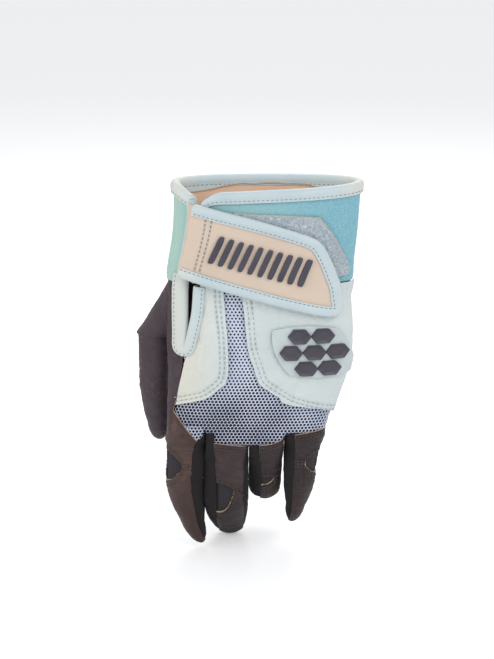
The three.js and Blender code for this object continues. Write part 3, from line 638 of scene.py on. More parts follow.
# Palm leather: one cut of dark goatskin round the palm and the thumb side, up to the strip that
# shows beside the vent. It is sewn to the cuff at the top and ends at the roots of the fingers.
def goatskin(name, low, middle, high, wear, tip):
    """Tanned goatskin: satin, pebbled with a 1 mm grain, with painted highlights as lighter brown
    streaks, and painted shade towards the fingertips, which bend away from the light."""
    material, tree, output = new_material(name)
    spot = object_place(tree)
    clouds = add_node(tree, "ShaderNodeTexNoise", Vector=spot, Scale=45.0, Detail=4.0, Roughness=0.6)
    streaks = add_node(tree, "ShaderNodeTexNoise", Vector=spot, Scale=160.0, Detail=3.0, Distortion=0.6)
    # Painted highlight: lighter brown streaks where the noise is high, in place of the leather's gloss.
    lighter_patches = add_node(tree, "ShaderNodeMapRange", _0=streaks.outputs["Fac"], _1=0.52, _2=0.75, _3=0.0,
                      _4=wear)
    # The tip wash is painted shade, darker towards the fingertips.
    tint = tinted(tree, clouds.outputs["Fac"], low, middle, (lighter_patches.outputs[0], high),
                  (fade(tree, spot, "Z", -0.17, -0.212, 0.75), tip))
    grain = add_node(tree, "ShaderNodeTexVoronoi", {"feature": "DISTANCE_TO_EDGE"}, Vector=spot, Scale=900.0)
    pits = add_node(tree, "ShaderNodeMapRange", _0=grain.outputs["Distance"], _1=0.0, _2=0.25, _3=0.0, _4=1.0)
    creases = add_node(tree, "ShaderNodeTexNoise", Vector=spot, Scale=330.0, Detail=6.0, Distortion=1.2)
    height = add_node(tree, "ShaderNodeMath", {"operation": "MULTIPLY_ADD"}, _0=pits.outputs[0], _1=0.35,
                      _2=creases.outputs["Fac"])
    gloss = add_node(tree, "ShaderNodeMapRange", _0=clouds.outputs["Fac"], _1=0.3, _2=0.7, _3=0.62, _4=0.44)
    surface(tree, output, tint, gloss.outputs[0], height.outputs[0], 0.35)
    return material


# Its third colour is a painted highlight and its last a painted shade at the fingertips.
hand_goatskin = goatskin("dark_plum_goatskin", "#30242A", "#46353E", "#634C47", 0.35, "#281B1D")

# The cut edge of the same leather: undyed suede fibres, tan and matt.
raw_suede_edge = plain_material("raw_tan_leather_edge", "ShaderNodeTexNoise", "#8E7560", "#DCC3A2", 0.95, 0.2,
                                Scale=1500.0, Detail=3.0)

strip_edge = ((0.34, -0.83), (0.45, -0.825), (0.6, -0.82), (0.66, -0.835), (0.76, -0.87),
              (0.83, -0.905), (0.9, -0.96), (1.01, -0.99))
palm_start = 0.8
palm_depth = 2.3


def palm_creases(u, v, spots):
    """Soft folds where the palm bends, and a slack, uneven surface between them."""
    folds = wave(spots, 16, 3, (0.6, 1, 1.7))
    fine = wave(spots, 5.5, 9, (0.7, 1, 1.5))
    return -0.55 * (1 - np.abs(folds)) ** 5 + 0.22 * fine - 0.3 * np.exp(-((spots[:, 2] + 61) / 1.2) ** 2)


on_palm = between(lambda z: palm_start, lambda z: 360 + edge_angle(strip_edge, z), palm_depth)
palm = skin("palm_leather_skin", 150, 80, on_palm, 1.0, [hand_goatskin, raw_suede_edge], palm_creases)
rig.replaces(palm, "palm_leather")
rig.ride(palm, "hand")
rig.slot(palm, "dark_leather")


# Side panels: two cuts of pale synthetic leather laid over the mesh, one towards the thumb and one
# round the little finger's side. Two rows of blue-grey lockstitch run inside their edges.
panel_depth = 3.86
panel_wall = 1.0
row_gaps = (2.1, 4.5)
row_end = 36
press = (0.42, 0.9)


def spline(rows, t):
    """Points at shares of a table of points, on an even Catmull-Rom curve through them."""
    table = np.array(rows, float)
    table = np.concatenate((table[:1], table, table[-1:]))
    place = np.clip(np.asarray(t, float), 0, 1) * (len(rows) - 1)
    i = np.minimum(place.astype(int), len(rows) - 2)
    w = (place - i)[:, None]
    a, b, c, d = (table[i + k] for k in range(4))
    return b + w * (c - a) / 2 + w**2 * (a - 2.5 * b + 2 * c - d / 2) + w**3 * (1.5 * (b - c) + (d - a) / 2)


def four_sided(sides):
    """Blends a patch between four edges, each a table of (share of width, share of length)."""
    as_angles = {name: [(float(back_angle(share, -down * hand_length)), down) for share, down in rows]
                 for name, rows in sides.items()}

    def blend(u, v):
        top, bottom = spline(as_angles["top"], u), spline(as_angles["bottom"], u)
        left, right = spline(as_angles["left"], v), spline(as_angles["right"], v)
        u, v = u[:, None], v[:, None]
        ends = [np.array(as_angles[side][i]) for side in ("top", "bottom") for i in (0, -1)]
        flat = (ends[0] * (1 - u) + ends[1] * u) * (1 - v) + (ends[2] * (1 - u) + ends[3] * u) * v
        return top * (1 - v) + bottom * v + left * (1 - u) + right * u - flat
    return blend


def on_patch(sides, depth):
    blend = four_sided(sides)

    def place(u, v, out):
        angle, down = blend(u, v).T
        return hand_point(angle, -down * hand_length, depth + out)
    return place


def edge_line(rows, steps=60):
    """An edge of a patch as points in mm: across and up."""
    share, down = spline(rows, np.linspace(0, 1, steps)).T
    middle, width, _, _ = hand_section(-down * hand_length)
    return np.stack((middle + share * width, -down * hand_length), -1)


def even_line(points, step=0.5):
    """The same line with points an even step apart."""
    far = run_of(points)
    stops = np.linspace(0, far[-1], max(int(far[-1] / step), 2))
    return np.stack([np.interp(stops, far, points[:, k]) for k in range(points.shape[1])], -1)


def rounded(points, times):
    """The same line with its corners rounded, in place."""
    for _ in range(times):
        points[1:-1] = (points[:-2] + 2 * points[1:-1] + points[2:]) / 4
    return points


def inset_line(points, distance):
    """A flat line moved to its left by a distance, its corners rounded."""
    points = rounded(even_line(points), 6)
    ahead = np.gradient(points, axis=0)
    ahead /= np.linalg.norm(ahead, axis=1)[:, None]
    return even_line(rounded(points + distance * np.stack((-ahead[:, 1], ahead[:, 0]), -1), 12))


def raised(flat, out):
    """A flat line laid on the back of the hand, with the outward direction at each point."""
    low, high = on_back(flat[:, 0], flat[:, 1], out), on_back(flat[:, 0], flat[:, 1], out + 1)
    up = high - low
    return low, up / np.linalg.norm(up, axis=1)[:, None]


def stitch_template(length, thick):
    """One stitch: a thread that comes out of the cloth, lies on it and goes back in, along X."""
    bpy.ops.object.select_all(action="DESELECT")
    bpy.ops.mesh.primitive_uv_sphere_add(segments=6, ring_count=6, radius=1)
    ball = bpy.context.object
    points = np.array([vertex.co for vertex in ball.data.vertices])[:, (2, 0, 1)]
    faces = [list(polygon.vertices) for polygon in ball.data.polygons]
    bpy.data.objects.remove(ball)
    along_x = points[:, 0]
    width = thick / 2 * np.clip(1.3 * np.sqrt(np.maximum(1 - along_x**2, 0)), 0, 1)
    scale = np.sqrt(np.maximum(1 - along_x**2, 1e-6))
    shaped = np.stack((along_x * length / 2, points[:, 1] / scale * width, points[:, 2] / scale * width), -1)
    shaped[:, 2] += thick * (0.35 - 0.9 * along_x**4)
    return shaped, faces


def stitch_rows(name, rows, material, pitch=3.0, length=2.1, thick=0.5):
    """Sews rows of stitches; each row is its points in mm and their outward directions."""
    shape, faces = stitch_template(length, thick)
    points, all_faces = [], []
    for line, up in rows:
        far = run_of(line)
        for stop in np.arange(pitch / 2, far[-1], pitch):
            spots = [np.array([np.interp(stop + ahead, far, line[:, k]) for k in range(3)])
                     for ahead in (0, -0.8, 0.8)]
            lift = np.array([np.interp(stop, far, up[:, k]) for k in range(3)])
            run = (spots[2] - spots[1]) / max(np.linalg.norm(spots[2] - spots[1]), 1e-6)
            side = np.cross(lift, run)
            side /= np.linalg.norm(side)
            all_faces += [[i + len(points) for i in face] for face in faces]
            axes = np.array((run, side, np.cross(run, side)))
            points += list(spots[0] + sum(shape[:, k : k + 1] * axes[k] for k in range(3)))
    piece = from_faces(name, np.array(points), all_faces, material)
    pick(piece)
    turn_outward()
    finish_mesh(piece, 60)
    return piece


def seam(place, *spot, out=0):
    """A row to sew: the points that place gives at an out, and the way outward at each."""
    line = place(*spot, out)
    return line, place(*spot, out + 1) - line


def thread(name, low, high):
    """Bonded polyester sewing thread: slightly shiny, with its twist as a fine slant."""
    return plain_material(name, "ShaderNodeTexWave", low, high, 0.5, 0.05, {"bands_direction": "DIAGONAL"},
                          Scale=700.0)


grey_thread = thread("grey_polyester_thread", "#66707E", "#98A2AC")
mint_thread = thread("mint_polyester_thread", "#8C9FA6", "#B6C6CA")

# Polyurethane-coated split leather: smooth and a little glossy, mint white, yellower at the
# thumb side, with a very fine pressed grain and soft hairline folds.
pale_leather, tree, output = new_material("mint_coated_leather")
spot = object_place(tree)
clouds = add_node(tree, "ShaderNodeTexNoise", Vector=spot, Scale=38.0, Detail=3.0)
tint = tinted(tree, clouds.outputs["Fac"], "#C6D1D1", "#DCE2DF",
              (fade(tree, spot, "X", -0.026, -0.046, 0.75), "#DDDACA"))
grain = add_node(tree, "ShaderNodeTexVoronoi", {"feature": "DISTANCE_TO_EDGE"}, Vector=spot, Scale=1200.0)
folds = add_node(tree, "ShaderNodeTexNoise", Vector=spot, Scale=140.0, Detail=5.0, Distortion=0.8)
height = add_node(tree, "ShaderNodeMath", {"operation": "MULTIPLY_ADD"}, _0=grain.outputs["Distance"], _1=0.5,
                  _2=folds.outputs["Fac"])
surface(tree, output, tint, 0.46, height.outputs[0], 0.55)

# Its cut edge: the white foam and knit under the coating.
pale_cut_edge = plain_material("pale_cut_leather_edge", "ShaderNodeTexNoise", "#B7BFB9", "#E6E6DA", 0.9, 0.15,
                               Scale=1300.0)

thumb_line = np.concatenate([edge_line(thumb_panel["bottom"]), edge_line(thumb_panel["right"])[::-1][1:]])
pinky_line = np.concatenate([edge_line(pinky_panel["left"]), edge_line(pinky_panel["bottom"])[1:]])


def panel_creases(u, v, spots):
    """Slack leather: broad soft swells, with a few sharp folds that run with the hand."""
    swell = wave(spots, 22, 5, (1, 1, 0.8))
    folds = wave(spots, 11, 12, (1.3, 1, 0.45))
    return 0.3 * swell - 0.45 * (1 - np.abs(folds)) ** 8 + 0.22 * wave(spots, 6, 4)


for name, node, sides, line, columns in (
    ("thumb_panel_leather", "thumb_side_panel", thumb_panel, thumb_line, 56),
    ("pinky_panel_leather", "pinky_side_panel", pinky_panel, pinky_line, 110),
):
    flat_rows = [inset_line(line, gap) for gap in row_gaps]
    flat_rows = [row[row[:, 0] < row_end] for row in flat_rows]
    pinches = [(raised(row, panel_depth)[0], *press) for row in flat_rows]
    panel = skin(name, columns, 100, on_patch(sides, panel_depth), panel_wall, [pale_leather, pale_cut_edge],
                 panel_creases, pinches)
    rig.replaces(panel, node)
    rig.ride(panel, "hand")
    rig.slot(panel, "pale_leather")
    sewn = stitch_rows(name + "_stitches", [raised(row, panel_depth - 0.3) for row in flat_rows], mint_thread)
    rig.ride(sewn, "hand")
    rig.slot(sewn, "pale_leather")


# Knuckle guard: seven six-sided cells of dark moulded rubber on a pale flexible plate, welded to
# the panel. It takes the place of the badge.
guard_middle = (23.5, -99.5)
guard_half = (20, 15.5)
guard_depth = 4.64
plate_wall = 0.8
cell_radius = 6.2
cell_pitch = 12
cell_rise = 1.55
guard_slant = 0.28
guard_bulge = 0.28

# Thermoplastic rubber, injection moulded: dark grey, satin, with a fine spark-eroded texture.
dark_rubber, tree, output = new_material("dark_moulded_rubber")
spots_noise = add_node(tree, "ShaderNodeTexNoise", Vector=object_place(tree), Scale=1400.0, Detail=2.0)
lighter_patches = add_node(tree, "ShaderNodeTexNoise", Vector=object_place(tree), Scale=90.0)
surface(tree, output, tinted(tree, lighter_patches.outputs["Fac"], "#34323B", "#4C4A55"), 0.42,
        spots_noise.outputs["Fac"], 0.1)

# The same rubber unpigmented: milky, smooth and a little shinier.
pale_rubber = plain_material("pale_moulded_rubber", "ShaderNodeTexNoise", "#B4C0C2", "#CFD8D6", 0.38, 0.1,
                             Scale=120.0)


def on_guard(u, v, out):
    turn, rise = 2 * u - 1, 2 * v - 1
    squeeze, drop = np.sqrt(1 - guard_bulge * rise**2), np.sqrt(1 - guard_bulge * turn**2)
    return on_back(guard_middle[0] + guard_half[0] * turn * squeeze - guard_slant * guard_half[1] * rise,
                   guard_middle[1] + guard_half[1] * rise * drop, guard_depth + plate_wall + out)


def joined(parts, name, material):
    """Joins loose parts into one moulded piece."""
    pick(*parts)
    bpy.ops.object.join()
    piece = bpy.context.object
    piece.name = name
    turn_outward()
    piece.data.materials.clear()
    piece.data.materials.append(material)
    finish_mesh(piece, 35)
    return piece


plate = skin("guard_plate", 50, 40, on_guard, plate_wall, [pale_rubber], corner=0.3)
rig.ride(plate, "hand")
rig.slot(plate, "moulded_rubber")

cells = []
for column, row in ((-1, 0), (0, 0), (1, 0), (-1, 1), (0, 1), (-1, -1), (0, -1)):
    bpy.ops.object.select_all(action="DESELECT")
    bpy.ops.mesh.primitive_cylinder_add(vertices=6, radius=1, depth=1, location=(0, 0, 0.5))
    cell = bpy.context.object
    bpy.ops.object.transform_apply(location=True)
    bpy.ops.object.mode_set(mode="EDIT")
    bpy.ops.mesh.select_all(action="DESELECT")
    form = bmesh.from_edit_mesh(cell.data)
    for face in form.faces:
        face.select = face.normal.z > 0.9
    bpy.ops.mesh.inset(thickness=0.3)
    bpy.ops.transform.translate(value=(0, 0, -0.62))
    bpy.ops.mesh.select_all(action="SELECT")
    bpy.ops.mesh.bevel(offset=0.07, segments=3, affect="EDGES")
    bpy.ops.mesh.subdivide(number_cuts=1)
    bpy.ops.object.mode_set(mode="OBJECT")
    x0 = guard_middle[0] + (column + (row % 2) * 0.5) * cell_pitch - row * guard_slant * cell_pitch * 0.5
    z0 = guard_middle[1] + row * cell_pitch * 0.8
    points = np.array([vertex.co for vertex in cell.data.vertices])
    turned = points[:, :2] @ np.array([[0.866, 0.5], [-0.5, 0.866]])
    placed = on_back(x0 + turned[:, 0] * cell_radius * 0.96, z0 + turned[:, 1] * cell_radius * 0.8,
                     guard_depth + plate_wall * 0.6 + points[:, 2] * (cell_rise + plate_wall * 0.4))
    move_points(cell, placed)
    cells.append(cell)
guard = joined(cells, "guard_cells", dark_rubber)
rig.replaces(guard, "knuckle_guard")
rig.ride(guard, "hand")
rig.slot(guard, "moulded_rubber")


# Cuff: two cuts of teal neoprene, 2.5 mm foam faced with knit, butted and sewn at the right side
# and left open at the slit that the strap closes.
cuff_depth = 3.6
cuff_wall = 2.4
cuff_bottom = -60
cuff_top = -0.3
slit_back = ((0, -0.62), (0.1, -0.68), (0.376, -0.7))
slit_palm = ((0, -0.87), (0.1, -0.8), (0.2, -0.815), (0.376, -0.84))

# Neoprene: closed-cell foam under a tight nylon knit, matt, with painted light that makes it greener at the
# left and bluer to the right, its loops drawn 0.9 mm wide so that they show.
teal_neoprene, tree, output = new_material("teal_nylon_faced_neoprene")
spot = object_place(tree)
speckle = add_node(tree, "ShaderNodeTexNoise", Vector=spot, Scale=1300.0, Detail=2.0)
flecks = add_node(tree, "ShaderNodeMapRange", _0=speckle.outputs["Fac"], _1=0.35, _2=0.7, _3=0.0, _4=0.45)
# Painted light: paler and greener at the left, bluer and darker to the right; the flecks are the knit's own.
tint = tinted(tree, fade(tree, spot, "X", -0.052, 0.05, 1.0), "#98C3C2", "#6DABBD",
              (fade(tree, spot, "X", -0.042, -0.052, 1.0), "#A8C9BC"), (flecks.outputs[0], "#B4D3D2"))
loops = add_node(tree, "ShaderNodeTexVoronoi", Vector=object_place(tree, (1, 1, 0.7)), Scale=1100.0)
surface(tree, output, tint, 0.88, loops.outputs["Distance"], 0.12, Sheen_Weight=0.25)

# The foam where it is cut: dark closed cells.
foam_cut_edge = plain_material("neoprene_foam_edge", "ShaderNodeTexVoronoi", "#3B4144", "#5F676A", 0.9, 0.1,
                               Scale=2500.0)


def cuff_waves(u, v, spots):
    """Soft unevenness of the foam, and a roll inwards where the leather is sewn on."""
    low = np.exp(-((spots[:, 2] - cuff_bottom) / 3) ** 2)
    return 0.5 * wave(spots, 30, 21, (1, 1, 1.4)) - 0.9 * low


# The rim dips towards the slit: share of the way round from the slit, and share of the length.
rim_dips = ((0, 0.075), (0.026, 0.051), (0.08, 0.043), (0.16, 0.035), (0.28, 0.026), (0.42, 0.019),
            (0.8, 0.019), (0.9, 0.021), (0.95, 0.03), (1, 0.062))
right_seam_share = 16 / 38


def rim_dip(t):
    return along(rim_dips, t) * hand_length


def on_cuff(start, end, first, last):
    def place(u, v, out):
        z = (cuff_top - rim_dip(first + (last - first) * u)) * (1 - v) + cuff_bottom * v
        return hand_point(start(z) * (1 - u) + end(z) * u, z, cuff_depth + out)
    return place


for name, node, start, end, shares, columns in (
    ("back_cuff_neoprene", "back_cuff", lambda z: edge_angle(slit_back, z), lambda z: back_seam,
     (0, right_seam_share), 90),
    ("palm_cuff_neoprene", "palm_cuff", lambda z: palm_start,
     lambda z: 360 + edge_angle(slit_palm, z), (right_seam_share, 1), 110),
):
    piece = skin(name, columns, 44, on_cuff(start, end, *shares), cuff_wall,
                 [teal_neoprene, foam_cut_edge], cuff_waves, corner=0.5)
    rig.replaces(piece, node)
    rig.ride(piece, "hand")
    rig.slot(piece, "neoprene")


# Cuff lining: brushed peach tricot laid inside the neoprene, caught under the binding at the rim.
brushed_peach, tree, output = new_material("brushed_peach_tricot")
nap = add_node(tree, "ShaderNodeTexNoise", Vector=object_place(tree), Scale=900.0, Detail=4.0)
patches = add_node(tree, "ShaderNodeTexNoise", Vector=object_place(tree), Scale=40.0)
surface(tree, output, tinted(tree, patches.outputs["Fac"], "#E6C0A2", "#F2D3B8"), 0.95,
        nap.outputs["Fac"], 0.25, Sheen_Weight=0.4)


lining_depth = 0.7
lining_top = -5.2
lining_bottom = -58


def wrap_angle(t, z):
    """Round the cuff from the back's slit edge, past the right side, to the palm's slit edge."""
    t, z = np.broadcast_arrays(np.asarray(t, float), z)
    seam_at = right_seam_share
    back = edge_angle(slit_back, z)
    palm_side = 360 + edge_angle(slit_palm, z)
    return np.where(t < seam_at, back + (palm_start - back) * t / seam_at,
                    palm_start + (palm_side - palm_start) * (t - seam_at) / (1 - seam_at))


def on_lining(u, v, out):
    z = (lining_top - rim_dip(u)) * (1 - v) + lining_bottom * v
    return hand_point(wrap_angle(u, z), z, lining_depth + out)


lining = skin("cuff_lining_cloth", 120, 30, on_lining, 0.8, [brushed_peach],
              lambda u, v, spots: 0.35 * wave(spots, 14, 31), corner=0)
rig.replaces(lining, "cuff_lining")
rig.ride(lining, "hand")
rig.slot(lining, "cream_lining")


# Rim binding: a strip of thin pale blue leather folded over a cord of foam round the cuff's rim and
# down the slit's edge, sewn through near its raw lower edges.
def tape(name, profile, steps, place, material):
    """A folded strip swept along a path: place(t, across, out) lays the profile's points."""
    outline = np.array(list(profile) + [profile[0]], float)

    def sweep(u, v, out):
        i = np.rint(u * (len(outline) - 1)).astype(int)
        return place(v, outline[i, 0], outline[i, 1])

    piece, u, v, spots = lay_grid(name, len(outline) - 1, steps, sweep)
    move_points(piece, spots)
    bpy.ops.object.mode_set(mode="EDIT")
    bpy.ops.mesh.select_all(action="SELECT")
    bpy.ops.mesh.remove_doubles(threshold=0.00002)
    bpy.ops.mesh.select_all(action="DESELECT")
    bpy.ops.mesh.select_mode(type="EDGE")
    bpy.ops.mesh.select_non_manifold(extend=False, use_wire=False, use_multi_face=False,
                                     use_non_contiguous=False, use_verts=False)
    bpy.ops.mesh.fill_holes(sides=0)
    bpy.ops.mesh.select_mode(type="VERT")
    turn_outward()
    piece.data.materials.append(material)
    finish_mesh(piece, 60)
    return piece


# Thin garment leather: smooth, satin, pale blue-grey, with a painted warm highlight that makes it creamier to the
# sides.
tape_leather, tree, output = new_material("pale_blue_garment_leather")
spot = object_place(tree)
across = add_node(tree, "ShaderNodeSeparateXYZ", _0=spot)
far = add_node(tree, "ShaderNodeMath", {"operation": "ABSOLUTE"}, _0=across.outputs["X"])
# Painted highlight: a cream wash towards both sides of the glove.
side = add_node(tree, "ShaderNodeMapRange", {"interpolation_type": "SMOOTHSTEP"}, _0=far.outputs[0],
                _1=0.034, _2=0.056, _3=0.0, _4=0.8)
clouds = add_node(tree, "ShaderNodeTexNoise", Vector=spot, Scale=70.0, Detail=3.0)
tint = tinted(tree, clouds.outputs["Fac"], "#B7C8CF", "#CEDADA", (side.outputs[0], "#D8D8CC"))
folds = add_node(tree, "ShaderNodeTexNoise", Vector=spot, Scale=420.0, Detail=5.0)
surface(tree, output, tint, 0.5, folds.outputs["Fac"], 0.2)

rim_profile = ((5.0, -6.0), (5.2, -5.5), (4.95, -4.6), (5.35, -3.7), (5.5, -2.4), (5.3, -0.9), (4.6, 0.2),
               (3.4, 0.75), (2.1, 0.8), (0.9, 0.6), (0.0, -0.1), (-0.45, -1.5), (-0.5, -3.2), (-0.25, -4.4),
               (-0.45, -5.4), (-0.45, -6.5), (0.3, -6.5), (0.5, -1.5), (4.0, -1.5), (4.15, -6.0))
rim_inner_edge = -6.4


def on_rim(t, out, z):
    """The rim, with the raw edge inside the glove cut unevenly and both flaps a little slack."""
    dipped = z - rim_dip(t)
    spots = hand_point(wrap_angle(t, dipped), dipped, out)
    ragged = np.array([noise.noise(Vector((31 * a, 0.5, 0))) for a in t])
    puff = np.array([noise.noise(Vector((60 * a, 3.5, 0))) for a in t])
    lift = 3.6 * np.exp(-(((t - 0.66) / 0.1) ** 4)) - 1.2
    spots[:, 2] += np.where(z < rim_inner_edge, 1.3 * ragged + lift, 0)
    middle = hand_section(z)[0]
    spots[:, 0] += (spots[:, 0] - middle) * 0.0025 * puff
    spots[:, 1] *= 1 + 0.006 * puff
    return spots


rim = tape("rim_binding_tape", rim_profile, 420, on_rim, tape_leather)
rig.replaces(rim, "rim_binding")
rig.ride(rim, "hand")
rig.slot(rim, "trim_leather")

# The raw edge of the strip inside the glove shows its brown split.
raw_profile = ((-0.85, -6.42), (-0.85, -6.95), (0.3, -6.95), (0.3, -6.42))
raw_edge = tape("rim_raw_edge", raw_profile, 420, on_rim, raw_suede_edge)
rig.ride(raw_edge, "hand")
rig.slot(raw_edge, "trim_leather")

binding_stitch = dict(pitch=2.6, length=1.9)
around = np.linspace(0.004, 0.996, 900)
rim_rows = []
for out, down, towards in ((4.85, -4.6, 1), (-0.15, -4.5, -1)):
    z = down - rim_dip(around)
    line = hand_point(wrap_angle(around, z), z, out)
    up = (hand_point(wrap_angle(around, z), z, out + 1) - line) * towards
    rim_rows.append((line, up / np.linalg.norm(up, axis=1)[:, None]))
rim_stitches = stitch_rows("rim_binding_stitches", rim_rows, grey_thread, **binding_stitch)
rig.ride(rim_stitches, "hand")
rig.slot(rim_stitches, "trim_leather")


# Slit edges: the same strip folded over both cut edges of the slit, below the rim.
edge_profile = ((-3.2, 3.75), (-2.6, 4.35), (-1.6, 4.4), (-0.4, 4.3), (0.6, 3.9), (1.05, 2.9), (1.0, 1.6),
                (0.5, 0.75), (-0.6, 0.35), (-1.8, 0.3), (-3.0, 0.45), (-3.0, 0.9), (-0.4, 1.1), (-0.4, 3.5))
for name, edge, turn, top in (
    ("slit_tape_back", slit_back, -1, -1.7 - rim_dip(0)),
    ("slit_tape_palm", slit_palm, 1, -1.7 - rim_dip(1)),
):
    def on_slit(t, across, out, edge=edge, turn=turn, top=top):
        z = top * (1 - t) + (cuff_bottom + 0.5) * t
        base = edge_angle(edge, z) + (360 if turn > 0 else 0)
        run = hand_point(base + 0.5, z, 3) - hand_point(base - 0.5, z, 3)
        per_degree = np.linalg.norm(run, axis=1)
        return hand_point(base + turn * across / per_degree, z, out)

    piece = tape(name, edge_profile, 60, on_slit, tape_leather)
    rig.ride(piece, "hand")
    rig.slot(piece, "trim_leather")


# Wrist elastic: a flat knitted band sewn stretched inside the palm's top edge, so it gathers it.
grey_elastic = plain_material("grey_knitted_elastic", "ShaderNodeTexWave", "#2F2A2E", "#54494D", 0.9, 0.2,
                              {"bands_direction": "Z"}, Scale=420.0)


elastic_height = 7
elastic_depth = 0.75
elastic_angles = (40, 140)


def on_elastic(u, v, out):
    angle = elastic_angles[0] * (1 - u) + elastic_angles[1] * u
    return hand_point(angle, leather_top - elastic_height * v, elastic_depth + out)


band = skin("wrist_elastic_band", 90, 8, on_elastic, 0.8, [grey_elastic],
            lambda u, v, spots: 0.12 * np.sin(u * 190), corner=0.15)
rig.replaces(band, "wrist_elastic")
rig.ride(band, "hand")
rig.slot(band, "elastic")


# Vent binding: the same pale strip folded over the raw edges of the vent and sewn down on the
# panel at one side and on the palm leather at the other.
vent_path = ((-0.79, 0.345), (-0.792, 0.45), (-0.788, 0.545), (-0.787, 0.604), (-0.766, 0.6),
             (-0.728, 0.548), (-0.686, 0.475), (-0.67, 0.383))
vent_profile = ((5.4, 4.2), (5.4, 4.85), (4.9, 5.05), (4.3, 4.85), (3.4, 5.2), (2.0, 5.35), (0.6, 5.15),
                (-0.5, 4.6), (-1.0, 3.6), (-1.05, 2.2), (-0.7, 1.2), (-0.2, 1.1), (0.2, 3.9), (3.0, 4.1))


def beside(flat):
    """Lays a strip beside a line on the back; flat gives the line's points at shares of it."""
    def place(t, across, out):
        here = flat(t)
        ahead = flat(np.minimum(t + 0.01, 1)) - flat(np.maximum(t - 0.01, 0))
        sideways = np.stack((-ahead[:, 2], ahead[:, 0]), -1)
        sideways /= np.linalg.norm(sideways, axis=1)[:, None]
        return on_back(here[:, 0] - sideways[:, 0] * across, here[:, 2] - sideways[:, 1] * across, out)
    return place


def vent_line(t):
    share, down = spline(vent_path, t).T
    middle, width, _, _ = hand_section(-down * hand_length)
    return on_back(middle + share * width, -down * hand_length, 0)


on_vent = beside(vent_line)
vent = tape("vent_binding_tape", vent_profile, 120, on_vent, tape_leather)
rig.replaces(vent, "vent_binding")
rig.ride(vent, "hand")
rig.slot(vent, "trim_leather")
vent_row = seam(on_vent, np.linspace(0.01, 0.99, 300), 4.3, out=4.75)
vent_stitches = stitch_rows("vent_binding_stitches", [vent_row], grey_thread, **binding_stitch)
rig.ride(vent_stitches, "hand")
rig.slot(vent_stitches, "trim_leather")


# Loop patch: the soft half of the touch fastener, woven nylon with a pile of fine loops, heat-cut
# so that its edge frays, sewn to the back of the cuff.
loop_depth = 5.16
loop_sides = dict(
    top=[(-0.34, 0.112), (0.1, 0.12), (0.56, 0.13)],
    bottom=[(-0.34, 0.352), (0.2, 0.352), (0.81, 0.352)],
    left=[(-0.34, 0.112), (-0.34, 0.24), (-0.34, 0.352)],
    right=[(0.56, 0.13), (0.82, 0.25), (0.93, 0.335), (0.81, 0.352)],
)

# Nylon pile: blue-grey and cloudy, crushed flat in spots, creamy where the cut edge frays.
nylon_pile, tree, output = new_material("blue_grey_nylon_pile")
spot = object_place(tree)
tufts = add_node(tree, "ShaderNodeTexNoise", Vector=spot, Scale=480.0, Detail=6.0, Roughness=0.75,
                 Distortion=1.8)
clumps = add_node(tree, "ShaderNodeMapRange", _0=tufts.outputs["Fac"], _1=0.38, _2=0.62, _3=0.0, _4=1.0)
border = add_node(tree, "ShaderNodeAttribute", {"attribute_name": "edge_mm"})
frayed = add_node(tree, "ShaderNodeMapRange", _0=border.outputs["Fac"], _1=0.3, _2=1.5, _3=0.9, _4=0.0)
tint = tinted(tree, clumps.outputs[0], "#A8C2D8", "#F0F6F6", (frayed.outputs[0], "#DCDACB"))
surface(tree, output, tint, 0.95, clumps.outputs[0], 0.6, Sheen_Weight=0.4)


def pile(u, v, spots):
    edge = np.minimum(np.minimum(u, 1 - u), np.minimum(v, 1 - v))
    return 0.3 * wave(spots, 1.7, 41) + 0.25 * wave(spots, 0.9, 42) - 0.4 * np.exp(-edge / 0.02)


loop = skin("loop_pile_patch", 180, 90, on_patch(loop_sides, loop_depth), 1.0, [nylon_pile], pile, corner=0)
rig.replaces(loop, "loop_patch")
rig.ride(loop, "hand")
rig.slot(loop, "loop_pile")


# Strap: a beige coated-leather face with a pale strip folded over its edge, sewn to the thumb side
# of the cuff and pulled over the slit. It turns about its sewn end.
strap_depth = 8.06
strap_path = ((-0.76, 0.087), (-0.5, 0.108), (-0.14, 0.138), (0.22, 0.175), (0.46, 0.205), (0.57, 0.235),
              (0.7, 0.315), (0.79, 0.405), (0.82, 0.455), (0.77, 0.484), (0.62, 0.481), (0.3, 0.453),
              (-0.06, 0.417), (-0.43, 0.38), (-0.8, 0.343))
strap_turn = 0.545
strap_face_end = 0.97
hinge = [Vector(j["pos_m"]) for j in frame["joints"] if j["name"] == "strap_root"][0]
strap_run = Vector((0.985, 0, -0.17))
fold_bend = dict(start=hinge - strap_run * 0.5 * mm, end=hinge + strap_run * 1.2 * mm)
strap_edge = spline([(share * hand_half_width, down * hand_length) for share, down in strap_path],
                    np.linspace(0, 1, 1401))
strap_far = run_of(strap_edge)
strap_far /= strap_far[-1]


def strap_at(t):
    """The strap's edge at a share of its length, as (angle, mm down)."""
    x, down = (np.interp(np.clip(t, 0, 1), strap_far, strap_edge[:, k]) for k in (0, 1))
    return np.stack((back_angle(x / hand_half_width, -down), down), -1)


def on_strap(u, v, out):
    p = u * strap_face_end
    spot = strap_at(p * strap_turn) * (1 - v)[:, None] + strap_at(1 - p * (1 - strap_turn)) * v[:, None]
    return hand_point(spot[:, 0], -spot[:, 1], strap_depth + out)


def strap_line(t):
    angle, down = strap_at(t).T
    return hand_point(angle, -down, 0)


on_strap_tape = beside(strap_line)

# Coated microfibre: smooth warm beige, satin, with a faint even grain.
beige_microfibre, tree, output = new_material("beige_coated_microfibre")
spot = object_place(tree)
clouds = add_node(tree, "ShaderNodeTexNoise", Vector=spot, Scale=35.0, Detail=3.0)
grain = add_node(tree, "ShaderNodeTexVoronoi", Vector=spot, Scale=1500.0)
surface(tree, output, tinted(tree, clouds.outputs["Fac"], "#D0BCA9", "#DECBB9"), 0.55,
        grain.outputs["Distance"], 0.08)

